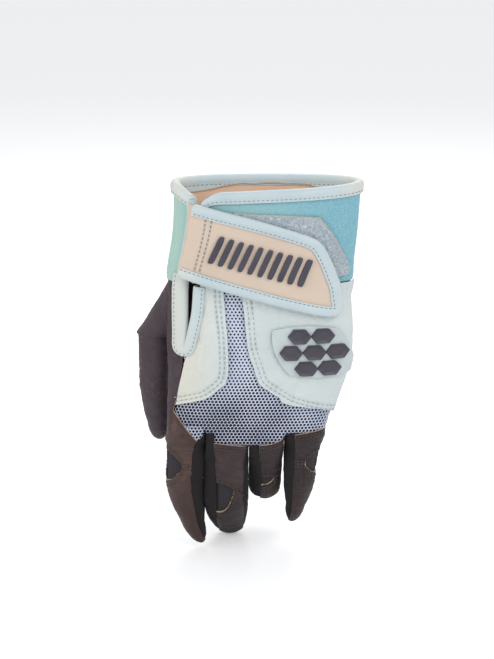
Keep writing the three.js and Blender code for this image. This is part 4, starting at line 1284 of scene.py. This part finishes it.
root_rows = [seam(on_strap, np.full(120, share), np.linspace(0.12, 0.88, 120)) for share in (0.085, 0.115)]
face = skin("strap_face_leather", 110, 44, on_strap, 1.2, [beige_microfibre],
            lambda u, v, spots: 0.12 * wave(spots, 18, 51), [(row[0], 0.35, 0.8) for row in root_rows], 0.2)
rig.replaces(face, "strap_face")
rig.ride(face, "strap")
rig.slot(face, "strap_fabric")

strap_profile = ((5.2, 8.36), (5.2, 8.9), (4.7, 9.0), (4.1, 8.75), (3.3, 9.15), (2.2, 9.35), (1.0, 9.3),
                 (-0.1, 9.0), (-0.85, 8.3), (-1.1, 7.3), (-0.95, 6.2), (-0.3, 5.6), (0.8, 5.46), (2.6, 5.46),
                 (2.6, 6.2), (0.0, 6.4), (0.0, 8.1))
strap_tape = tape("strap_binding_tape", strap_profile, 320,
                  lambda t, across, out: on_strap_tape(0.012 + 0.988 * t, across, out), tape_leather)
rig.replaces(strap_tape, "strap_binding")
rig.ride(strap_tape, "strap")
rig.slot(strap_tape, "trim_leather")
tape_row = seam(on_strap_tape, np.linspace(0.016, 0.996, 900), 4.1, out=8.7)
strap_stitches = stitch_rows("strap_stitches", [tape_row] + root_rows, grey_thread, **binding_stitch)
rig.ride(strap_stitches, "strap")
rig.slot(strap_stitches, "strap_fabric")


def on_root_fold(u, v, out):
    high = on_strap(np.zeros(len(u)), 0.03 + 0.94 * v, np.full(len(u), -0.25))
    down = strap_at(0)[1] * (1 - v) + strap_at(1)[1] * v
    low = hand_point(back_angle(-0.81 - 0.04 * v, -down), -down, 3.9)
    run = high - low
    aside = np.stack((run[:, 1], -run[:, 0], 0 * u), -1)
    aside /= np.linalg.norm(aside, axis=1)[:, None]
    return low + run * u[:, None] + aside * (out + 0.9 * np.sin(np.pi * u))[:, None]


root_fold = skin("strap_root_fold", 12, 40, on_root_fold, 0.8, [beige_microfibre], corner=0)
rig.blend(root_fold, "hand", "strap", **fold_bend)
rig.slot(root_fold, "strap_fabric")


# Hook patch: the stiff half of the fastener, on the strap's underside, with rows of small hooks.
hook_band = (-0.15, 0.5)
hook_half_height = 0.08
hook_depth = 6.46
band_slope = 0.094
band_middle = 0.286


def on_band(share, rise, out):
    down = band_middle + band_slope * share - rise
    z = -down * hand_length
    middle, width, _, _ = hand_section(z)
    return on_back(middle + share * width, z, out)


# Woven nylon with cut monofilament hooks: pale grey, slightly shiny, its rows 1.2 mm apart.
nylon_hooks = plain_material("grey_nylon_hook_tape", "ShaderNodeTexVoronoi", "#B9BFC4", "#DADDDF", 0.5, 0.3,
                             Scale=900.0)


def on_hooks(u, v, out):
    share = hook_band[0] * (1 - u) + hook_band[1] * u
    return on_band(share, hook_half_height * (1 - 2 * v), hook_depth + out)


hooks = skin("hook_tape_patch", 60, 30, on_hooks, 1.0, [nylon_hooks], corner=0.15)
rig.replaces(hooks, "hook_patch")
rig.ride(hooks, "strap")
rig.slot(hooks, "hook_tape")


# Grip ribs: ten slanting rounded bars, moulded and welded to the strap where the fingers pull it.
# They take the place of the lettering.
rib_count = 10
rib_band = (-0.46, 0.42)
rib_rise = 0.104
rib_slant = 0.085
rib_foot = 7.9
rib_top = 9.75

bars = []
for share in np.linspace(*rib_band, rib_count):
    bpy.ops.object.select_all(action="DESELECT")
    bpy.ops.mesh.primitive_cube_add(size=1, location=(0, 0, 0.5))
    bar = bpy.context.object
    bpy.ops.object.transform_apply(location=True)
    bpy.ops.object.mode_set(mode="EDIT")
    bpy.ops.mesh.select_all(action="SELECT")
    bpy.ops.mesh.bevel(offset=0.22, segments=4, affect="EDGES")
    bpy.ops.mesh.subdivide(number_cuts=2)
    bpy.ops.mesh.normals_make_consistent(inside=False)
    bpy.ops.object.mode_set(mode="OBJECT")
    points = np.array([vertex.co for vertex in bar.data.vertices])
    placed = on_band(share + 0.056 * points[:, 0] + rib_slant * points[:, 1], rib_rise * points[:, 1],
                     rib_foot + (rib_top - rib_foot) * points[:, 2])
    move_points(bar, placed)
    bars.append(bar)
grip = joined(bars, "strap_grip_ribs", dark_rubber)
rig.replaces(grip, "strap_ribs")
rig.ride(grip, "strap")
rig.slot(grip, "moulded_rubber")


# Fingers: each has a leather back and a leather palm with knit forchettes between them, sewn
# inside out and turned. The back is cut in two, and its raw edges leave a window at the knuckle.
# A window opens towards one side, which is -1 or 1; it has a reach across, and a height in mm above
# and below its tip, which lies a lift above the knuckle. The root tells where the leather starts,
# in mm down, by share across, and the pull by how many degrees its left edge is drawn in there.
fingers = (
    dict(name="index", at=-47.398, drop=149, widths=(11.3, 10.2, 7.2), upper=29.88, lower=48.3, bend=4,
         curl=13, lean=-2.2, tip_lean=10.5, back=(-170, -62), cell=(-58.6, -35.75),
         root=((-1, -0.5), (-0.88, -2), (-0.75, -7), (-0.62, -12), (-0.52, -11), (-0.13, -5.5), (0.3, 0.3),
               (1, 6)), pull=0, side=-1, reach=1.45, above=10, below=7, lift=6),
    dict(name="middle", at=-23.202, drop=159, widths=(12.3, 12.1, 10.6), upper=33.12, lower=47.46, bend=8,
         curl=42, lean=0.2, tip_lean=1.0, back=(-124, -40), cell=(-35.75, -10.6),
         root=((-1, -2.6), (0, -1.6), (1, -0.6)), pull=18, side=-1, reach=1.3, above=7, below=5.5,
         lift=3.6),
    dict(name="ring", at=-0.4, drop=159, widths=(10.0, 9.6, 7.6), upper=28.08, lower=42.0, bend=28,
         curl=48, lean=-0.7, tip_lean=-1.0, back=(-104, -16), cell=(-10.6, 10.0),
         root=((-1, -1.2), (0, -2.2), (1, -5)), pull=10, side=-1, reach=1.2, above=3.2, below=3.4,
         lift=8.4),
    dict(name="pinky", at=21.601, drop=152, widths=(11.4, 9.6, 6.0), upper=23.04, lower=42.0, bend=8,
         curl=20, lean=-2.1, tip_lean=-4.2, back=(-112, -8), cell=(10.0, 34.2),
         root=((-1, -0.8), (0, -2.2), (1, -4)), pull=15, side=1, reach=1.4, above=7, below=5, lift=5.4),
)
finger_half_depth = 8.5
wall_of_leather = 1.2
cap_share = 0.38
cell_power = 0.4
root_run = 9
lowest_section = -163
palm_edge = 24
tab_overlap = 2.4
fork_sides = {"index": ("right",), "middle": ("right", "left"), "ring": ("right", "left"), "pinky": ("left",)}


def ease(t):
    t = np.clip(t, 0, 1)
    return t * t * (3 - 2 * t)


def bent_line(finger, s):
    """The palm line of a finger that bends at its two joints: its lean, and its y and z in mm."""
    fine = np.arange(-12, 100, 0.25)
    lean = finger["bend"] * ease((fine + 4) / 8) + finger["curl"] * ease((fine - finger["upper"] + 4) / 8)
    lean = np.radians(lean)
    y = np.cumsum(np.sin(lean)) * 0.25
    z = 12 - (np.cumsum(np.cos(lean)) - np.cos(lean[0])) * 0.25
    base = np.interp(0, fine, y)
    fall = np.interp(0, fine, z)
    return np.interp(s, fine, lean), np.interp(s, fine, y) - base, np.interp(s, fine, z) - fall


def finger_length(finger):
    return finger["upper"] + finger["lower"] * (1 - cap_share) + finger["lower"] * cap_share * math.pi / 2


def on_finger(finger, angle, far, out):
    """Points of a finger in mm, far mm down it, round the rounded tip to the seam across its end."""
    angle, far, out = np.broadcast_arrays(np.asarray(angle, float), far, out)
    upper, lower = finger["upper"], finger["lower"]
    cap = lower * cap_share
    cap_start = upper + lower - cap
    s = np.minimum(far, cap_start)
    turn = np.clip((far - cap_start) / (cap * math.pi / 2), 0, 1) * math.pi / 2
    body = np.clip((s - upper) / (lower - cap), 0, 1) ** 2
    share = np.clip(s / upper, 0, 1)
    root, joint, end = finger["widths"]
    half_width = root * (1 - share) + joint * share + (end - joint) * body
    half_depth = wall_of_leather + (finger_half_depth - wall_of_leather) * (1 - 0.16 * body)
    c, n = np.cos(np.radians(angle)), np.sin(np.radians(angle))
    down = (cap + out) * np.abs(n) * np.sin(turn)
    along_tip = np.maximum(s - upper, 0) + down
    x = (half_width + out) * c + finger["lean"] * share + finger["tip_lean"] * (along_tip / lower) ** 1.6
    y = (half_depth + out) * n * np.cos(turn) - finger_half_depth
    lean, line_y, line_z = bent_line(finger, s)
    spots = np.stack((x, line_y + y * np.cos(lean) + down * np.sin(lean),
                      line_z + y * np.sin(lean) - down * np.cos(lean)), -1)
    if "turn" in finger:
        a = math.radians(finger["turn"])
        spots = np.stack((spots[..., 0] * math.cos(a) - spots[..., 1] * math.sin(a),
                          spots[..., 0] * math.sin(a) + spots[..., 1] * math.cos(a), spots[..., 2]), -1)
        return spots + np.array(finger["place"])
    spots = spots + np.array((finger["at"], finger_half_depth, -finger["drop"]))
    left, right = finger["cell"]
    z = -finger["drop"] - far
    middle, width, depth, power = hand_section(np.maximum(z, lowest_section))
    grown = palm_depth + out
    flat_x = (left + right) / 2 + (right - left) / 2 * np.sign(c) * np.abs(c) ** cell_power
    off = np.clip(np.abs((flat_x - middle) / (width + grown)), 0, 1)
    flat_y = (depth + grown) * (1 - off ** (2 / power)) ** (power / 2) * np.sign(n) * np.abs(n) ** cell_power
    hand_like = np.stack((flat_x, flat_y, z), -1)
    blend = ease(far / root_run)[..., None]
    return hand_like * (1 - blend) + spots * blend


def joint_line(finger, tip, before, after):
    """Where a skin starts and stops to bend at a joint, in metres."""
    pivot = [Vector(j["pos_m"]) for j in frame["joints"] if j["name"] == finger["joints"][tip]][0]
    lean = math.radians(finger["bend"] / 2 if tip == 0 else finger["bend"] + finger["curl"] / 2)
    ahead = Vector((0, math.sin(lean), -math.cos(lean)))
    if "turn" in finger:
        ahead = Matrix.Rotation(math.radians(finger["turn"]), 3, "Z") @ ahead
    return dict(start=pivot - ahead * before * mm, end=pivot + ahead * after * mm)


def finger_creases(seed, joint):
    """Empty leather: slack swells, and cross folds that crowd round the knuckle."""
    def relief(u, v, spots):
        swell = wave(spots, 9, seed, (1, 1, 0.7))
        folds = wave(spots, 4.2, seed + 3, (0.45, 1, 1.5))
        close = np.exp(-((spots[:, 2] - joint) / 13) ** 2)
        return 0.3 * swell - 0.15 - (0.22 + 0.4 * close) * (1 - np.abs(folds)) ** 4
    return relief


# Knitted polyester microsuede for the forchettes: soft, black-brown and very matt.
black_microsuede = plain_material("black_knit_microsuede", "ShaderNodeTexNoise", "#0F0C0E", "#1C1719", 0.95,
                                  0.2, stretch=(1, 1, 0.4), Scale=900.0, Detail=4.0)

# Four-way stretch knit in the windows: plain dark grey, matt, its fine ribs 0.5 mm apart.
grey_stretch_knit = plain_material("grey_stretch_knit", "ShaderNodeTexWave", "#262328", "#353136", 0.92, 0.12,
                                   Scale=320.0, Distortion=2.5)

# Each goatskin's third colour is a painted highlight and its last a painted shade at the fingertips.
leathers = {
    "index": goatskin("brown_goatskin", "#3A2724", "#574039", "#745443", 0.45, "#34201B"),
    "middle": goatskin("plum_goatskin", "#281A1D", "#3F2D30", "#59402F", 0.35, "#1C0F0F"),
    "ring": goatskin("russet_goatskin", "#1A1012", "#2D1E21", "#4F3223", 0.4, "#2C1710"),
}
leathers["pinky"] = leathers["ring"]
dark_thread = thread("brown_polyester_thread", "#3A2C2A", "#5C4A42")

# How far the knit swells out between two fingers, in mm, by mm down the finger.
wide_gap = ((0, 0.9), (6, 1.8), (14, 2.2), (32, 2.7), (48, 2.3), (64, 1.1), (80, 0.2), (95, 0))
narrow_gap = ((0, 0), (10, 0.35), (40, 0.5), (60, 0.3), (95, 0))


def window_bow(finger, across):
    """The window's outline: 1 at the side where it opens and 0 at the tab on the other side."""
    off = np.clip(np.abs((across - finger["side"] * 1.05) / finger["reach"]), 0, 1)
    return np.sqrt(1 - off**2)


def strip(finger, first, last, start, end, rise=None, level=False, pulls=(0, 0)):
    """Lays a grid on a finger between two angles; start and end give mm down it, by share across.
    At the root its edges are pulled in, and a level one has its columns evenly apart."""
    def place(u, v, out):
        across = 2 * u - 1
        far = start(across) * (1 - v) + end(across) * v
        if rise is not None:
            out = out + rise(far)
        low, high = first + pulls[0], last + pulls[1]
        root_angle = low + (high - low) * u
        if level:
            c = np.cos(np.radians([low, high]))
            ends = np.sign(c) * np.abs(c) ** cell_power
            x = ends[0] + (ends[1] - ends[0]) * u
            root_angle = -np.degrees(np.arccos(np.sign(x) * np.abs(x) ** (1 / cell_power)))
        settled = ease(far / root_run)
        angle = root_angle * (1 - settled) + (first + (last - first) * u) * settled
        return on_finger(finger, angle, far, out)
    return place


def tip_tuck(finger):
    """The seam across the fingertip pulls the leather in."""
    end = finger_length(finger)
    return lambda far: -0.7 * np.exp(-(((end - far) / 1.6) ** 2))


def even(value):
    return lambda across: value + 0 * across


for number, finger in enumerate(fingers):
    name = finger["name"]
    finger["joints"] = (name + "_base", name + "_middle")
    upper_body, lower_body = name + "_upper", name + "_lower"
    knuckle, end = finger["upper"], finger_length(finger)
    first, last = finger["back"]
    root_bend = joint_line(finger, 0, 2, 9)
    knuckle_bend = joint_line(finger, 1, 3, 8)
    knuckle_height = -finger["drop"] - knuckle
    creases = finger_creases(60 + 5 * number, knuckle_height)
    tuck = tip_tuck(finger)
    leather = [leathers[name], raw_suede_edge]

    def over_mesh(far):
        return 0.25 + 1.25 * (1 - ease((far - max(finger["root"][-1][1], 0)) / 4))

    def root_line(across):
        return along(finger["root"], across)

    def upper_end(across):
        return knuckle - 0.6 - finger["lift"] - finger["above"] * window_bow(finger, across)

    def lower_start(across):
        reach = (finger["below"] + tab_overlap) * window_bow(finger, across)
        return knuckle - tab_overlap - finger["lift"] + reach

    def lower_rise(far):
        return 0.3 - 0.7 * (1 - ease((far - knuckle + finger["lift"] + tab_overlap) / 4)) + tuck(far)

    upper_back = strip(finger, first - 2, last + 2, root_line, upper_end, over_mesh, True,
                       (finger["pull"], 0))
    lower_back = strip(finger, first - 2, last + 2, lower_start, even(end), lower_rise)
    right = palm_edge if "right" in fork_sides[name] else last
    left = 180 - palm_edge if "left" in fork_sides[name] else 360 + first
    under = lambda far: -0.6 * (1 - ease((far + 1) / 3))
    pieces = [
        ("back_upper", 34, 40, upper_back, leather, "hand", upper_body, root_bend),
        ("back_lower", 34, 60, lower_back, leather, upper_body, lower_body, knuckle_bend),
        ("palm_upper", 40, 34, strip(finger, right - 1, left + 1, even(0), even(knuckle)), [hand_goatskin],
         "hand", upper_body, root_bend),
        ("palm_lower", 40, 56, strip(finger, right - 1, left + 1, even(knuckle - 0.1), even(end), tuck),
         [hand_goatskin], upper_body, lower_body, knuckle_bend),
    ]
    for side in fork_sides[name]:
        tag = "fork" if len(fork_sides[name]) == 1 else ("outer_fork" if side == "right" else "inner_fork")
        sector = (last - 1, palm_edge + 1) if side == "right" else (180 - palm_edge - 1, 360 + first + 1)
        low = lambda far: -0.35 + tuck(far)
        top, rise = even(-1.5), under
        if (name, side) == ("middle", "left"):
            top = lambda across: -1.5 - 7.6 * ease((across + 1) / 0.5)
            rise = lambda far: 0.75 * (1 - ease((far + 1) / 3))
        elif (name, side) == ("index", "right"):
            top = lambda across: -1.5 + 8.5 * (1 - ease((across + 1.2) / 1.6))
            rise = lambda far: 1.3 * (1 - ease((far - 6) / 4))
        elif name == "pinky":
            top = lambda across: 2 - 3.5 * ease((across + 0.2) / 1.2)
        pulls = (0, finger["pull"]) if side == "left" else (0, 0)
        pieces.append((tag + "_upper", 18, 34,
                       strip(finger, *sector, top, even(knuckle), rise, pulls=pulls),
                       [black_microsuede], "hand", upper_body, root_bend))
        pieces.append((tag + "_lower", 14, 56, strip(finger, *sector, even(knuckle - 0.1), even(end), low),
                       [black_microsuede], upper_body, lower_body, knuckle_bend))
    for tag, columns, rows, place, materials, before, after, bend in pieces:
        wall = 0.9 if "fork" in tag else 1.0
        wide = (name, "inner" in tag) in (("index", False), ("middle", True))

        def swell(u, v, spots, swells=wide_gap if wide else narrow_gap, low=tag.endswith("lower")):
            far = knuckle + (end - knuckle) * v if low else knuckle * v
            return 0.2 * wave(spots, 6, 77) - 0.25 + along(swells, far) * np.sin(np.pi * u) ** 0.7

        relief = creases if "fork" not in tag else swell
        piece = skin(f"{name}_{tag}_skin", columns, rows, place, wall, materials, relief, corner=0.2)
        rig.blend(piece, before, after, **bend)
        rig.replaces(piece, f"{name}_{tag}")
        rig.slot(piece, "knit" if "fork" in tag else "dark_leather")

    open_left = finger["side"] < 0
    insert = strip(finger, first - 1 if open_left else first + 8, last - 8 if open_left else last + 1,
                   even(knuckle - finger["lift"] - finger["above"] - 3),
                   even(knuckle - finger["lift"] + finger["below"] + 3),
                   lambda far: -1.25 + 0 * far)
    piece = skin(f"{name}_knuckle_window", 26, 26, insert, 0.8, [grey_stretch_knit],
                 lambda u, v, spots: 0.15 * wave(spots, 5, 91), corner=0)
    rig.blend(piece, upper_body, lower_body, **knuckle_bend)
    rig.replaces(piece, f"{name}_knuckle_insert")
    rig.slot(piece, "stretch_insert")

    across = np.linspace(0.06, 0.94, 160)
    for tag, place, marks, before, after, bend in (
        ("upper", upper_back, ((0, 1.5), (0, 3.0), (1, 1.4), (1, 2.8)), "hand", upper_body, root_bend),
        ("lower", lower_back, ((0, 1.4), (0, 2.8)), upper_body, lower_body, knuckle_bend),
    ):
        rows = []
        for edge, gap in marks:
            starts, ends = root_line(2 * across - 1), upper_end(2 * across - 1)
            if tag == "lower":
                starts, ends = lower_start(2 * across - 1), end
            share = gap / (ends - starts)
            share = 1 - share if edge else share + 0 * across
            rows.append(seam(place, across, share))
        sewn = stitch_rows(f"{name}_stitches_{tag}", rows, dark_thread, pitch=2.4, length=1.7, thick=0.45)
        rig.blend(sewn, before, after, **bend)
        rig.slot(sewn, "dark_leather")


# Side facings: the palm leather turned in at the outer seam of the index finger and of the little
# finger, which closes the root behind the edge of the back leather.
for finger, first, last in ((fingers[0], 150, 240), (fingers[3], -60, 30)):
    place = strip(finger, first, last, even(-5), even(10))
    facing = skin(finger["name"] + "_root_facing", 16, 20, place, 0.8, [hand_goatskin],
                  lambda u, v, spots: -0.6 + 0 * u, corner=0)
    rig.blend(facing, "hand", finger["name"] + "_upper", **joint_line(finger, 0, 2, 9))
    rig.slot(facing, "dark_leather")


# Mesh tongue: the corner of the back's mesh that runs out over the index finger, cut aslant and
# sewn into the finger's leather on one side and to the forchette on the other.
index_root = -fingers[0]["drop"]


def tongue_hole(run, z):
    """The size of a hole of the tongue, or none outside the corner it covers."""
    far = index_root - z
    x = float(across_hand(run, max(z, index_root))[0])
    if not -2.5 < far < 6.5 or x < -48.5 + max(far, 0) * 0.72 or x > -34.2 - (far - 1.3) * 0.8:
        return None
    return 0.86


def on_tongue(run, z, out):
    far = index_root - np.asarray(z, float)
    x = across_hand(run, np.maximum(z, index_root))[:, 0]
    turns = np.linspace(-176, -4, 173)
    reached = on_finger(fingers[0], turns[None, :], far[:, None], 1.5)[:, :, 0]
    angle = np.array([np.interp(x[i], reached[i], turns) for i in range(len(x))])
    return on_finger(fingers[0], angle, far, out)


tongue = knit_cloth("index_mesh_tongue", (-147, -160), tongue_hole, lambda run, z: on_tongue(run, z, 0.75))
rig.blend(tongue, "hand", "index_upper", **joint_line(fingers[0], 0, 2, 9))
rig.slot(tongue, "knit_mesh")


# Webs: small knit pieces that close the side of the hand where one finger starts higher than the
# next, sewn between the palm and the back.
for name, border, side, high, low in (
    ("index_middle_web", finger_borders[0][0], 1, -147, -159),
    ("ring_pinky_web", finger_borders[2][0], -1, -150, -159),
):
    depth = float(hand_section(low)[2]) * 0.88

    def on_web(u, v, out, border=border, side=side, high=high, low=low, depth=depth):
        return np.stack((border + side * (0.4 - out), depth * (2 * u - 1), high * (1 - v) + low * v), -1)

    web = skin(name + "_knit", 16, 12, on_web, 0.7, [black_microsuede],
               lambda u, v, spots: 0.15 * wave(spots, 5, 88), corner=0)
    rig.replaces(web, name)
    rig.ride(web, "hand")
    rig.slot(web, "knit")


# Thumb: a leather gusset set into the thumb side of the palm leather carries a two-part thumb, back
# and palm sewn together along both sides.
thumb = dict(name="thumb", widths=(11.0, 10.2, 7.4), upper=33.12, lower=35.28, bend=3, curl=10, lean=-2.0,
             tip_lean=-3.0, turn=-37, place=(-60.5, 25.0, -97.0), joints=("thumb_base", "thumb_tip"))
thumb_seams = (-172, -8)
gusset_root = (-42.0, 3.0, -72.0)
gusset_half = (17, 9)
gusset_tilt = math.radians(-35)
gusset_depth = 1.2
gusset_cover = 2.1
probes = 121


def on_gusset_tube(angle, q, out):
    """The tube from the hole in the palm leather to the thumb's base."""
    c, n = np.cos(np.radians(angle)), np.sin(np.radians(angle))
    end = on_finger(thumb, angle, 0 * angle, out)
    wide = (gusset_half[0] + out) * c
    fall = wide * math.sin(gusset_tilt)
    root = np.stack((wide * math.cos(gusset_tilt), (gusset_half[1] + out) * n - fall * 0.4, fall), -1)
    root += np.array(gusset_root)
    q = q[:, None]
    return root * (1 - q) + end * q


def on_gusset(u, v, out):
    """The part of the tube that lies outside the palm leather, found by probes along it."""
    angle = 360 * u
    stops = np.linspace(0, 1, probes)
    turns, index = np.unique(np.round(angle, 4), return_inverse=True)
    starts = []
    for turn in turns:
        spots = on_gusset_tube(np.full(probes, turn), stops, np.full(probes, gusset_depth))
        middle, width, depth, power = hand_section(spots[:, 2])
        reach = (np.abs((spots[:, 0] - middle) / (width + gusset_cover)) ** (2 / power)
                 + np.abs(spots[:, 1] / (depth + gusset_cover)) ** (2 / power))
        within = np.nonzero(reach < 1)[0]
        starts.append(stops[within[-1]] if len(within) else 0)
    inside = np.array(starts)[index]
    return on_gusset_tube(angle, inside * (1 - v) + v, gusset_depth + out)


def gusset_creases(u, v, spots):
    return 0.35 * wave(spots, 11, 95) - 0.3 * (1 - np.abs(wave(spots, 6, 97))) ** 5


gusset = skin("thumb_gusset_skin", 72, 40, on_gusset, 1.0, [hand_goatskin, raw_suede_edge], gusset_creases,
              corner=0.2)
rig.replaces(gusset, "thumb_gusset")
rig.ride(gusset, "hand")
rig.slot(gusset, "dark_leather")

thumb_end = finger_length(thumb)
root_bend, knuckle_bend = joint_line(thumb, 0, 3, 8), joint_line(thumb, 1, 0.1, 11)
tuck = tip_tuck(thumb)
for tag, first, last in (("back", *thumb_seams), ("palm", thumb_seams[1], 360 + thumb_seams[0])):
    for part, start, end, rise, before, after, bend in (
        ("upper", -0.2, thumb["upper"], None, "hand", "thumb_upper", root_bend),
        ("lower", thumb["upper"] - 0.1, thumb_end, tuck, "thumb_upper", "thumb_lower", knuckle_bend),
    ):
        place = strip(thumb, first - 1, last + 1, even(start), even(end), rise)
        creases = finger_creases(101 if tag == "back" else 107, thumb["place"][2] - thumb["upper"])
        piece = skin(f"thumb_{tag}_{part}_skin", 44, 44, place, 1.0, [hand_goatskin, raw_suede_edge], creases,
                     corner=0.2)
        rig.blend(piece, before, after, **bend)
        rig.replaces(piece, f"thumb_{tag}_{part}")
        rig.slot(piece, "dark_leather")


# Size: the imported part's box and the finished glove's box, for comparison.
glove_box = [list(corner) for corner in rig.bounds()]
with open("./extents.json", "w") as size_file:
    json.dump({"cad": cad_box, "visual": glove_box}, size_file)
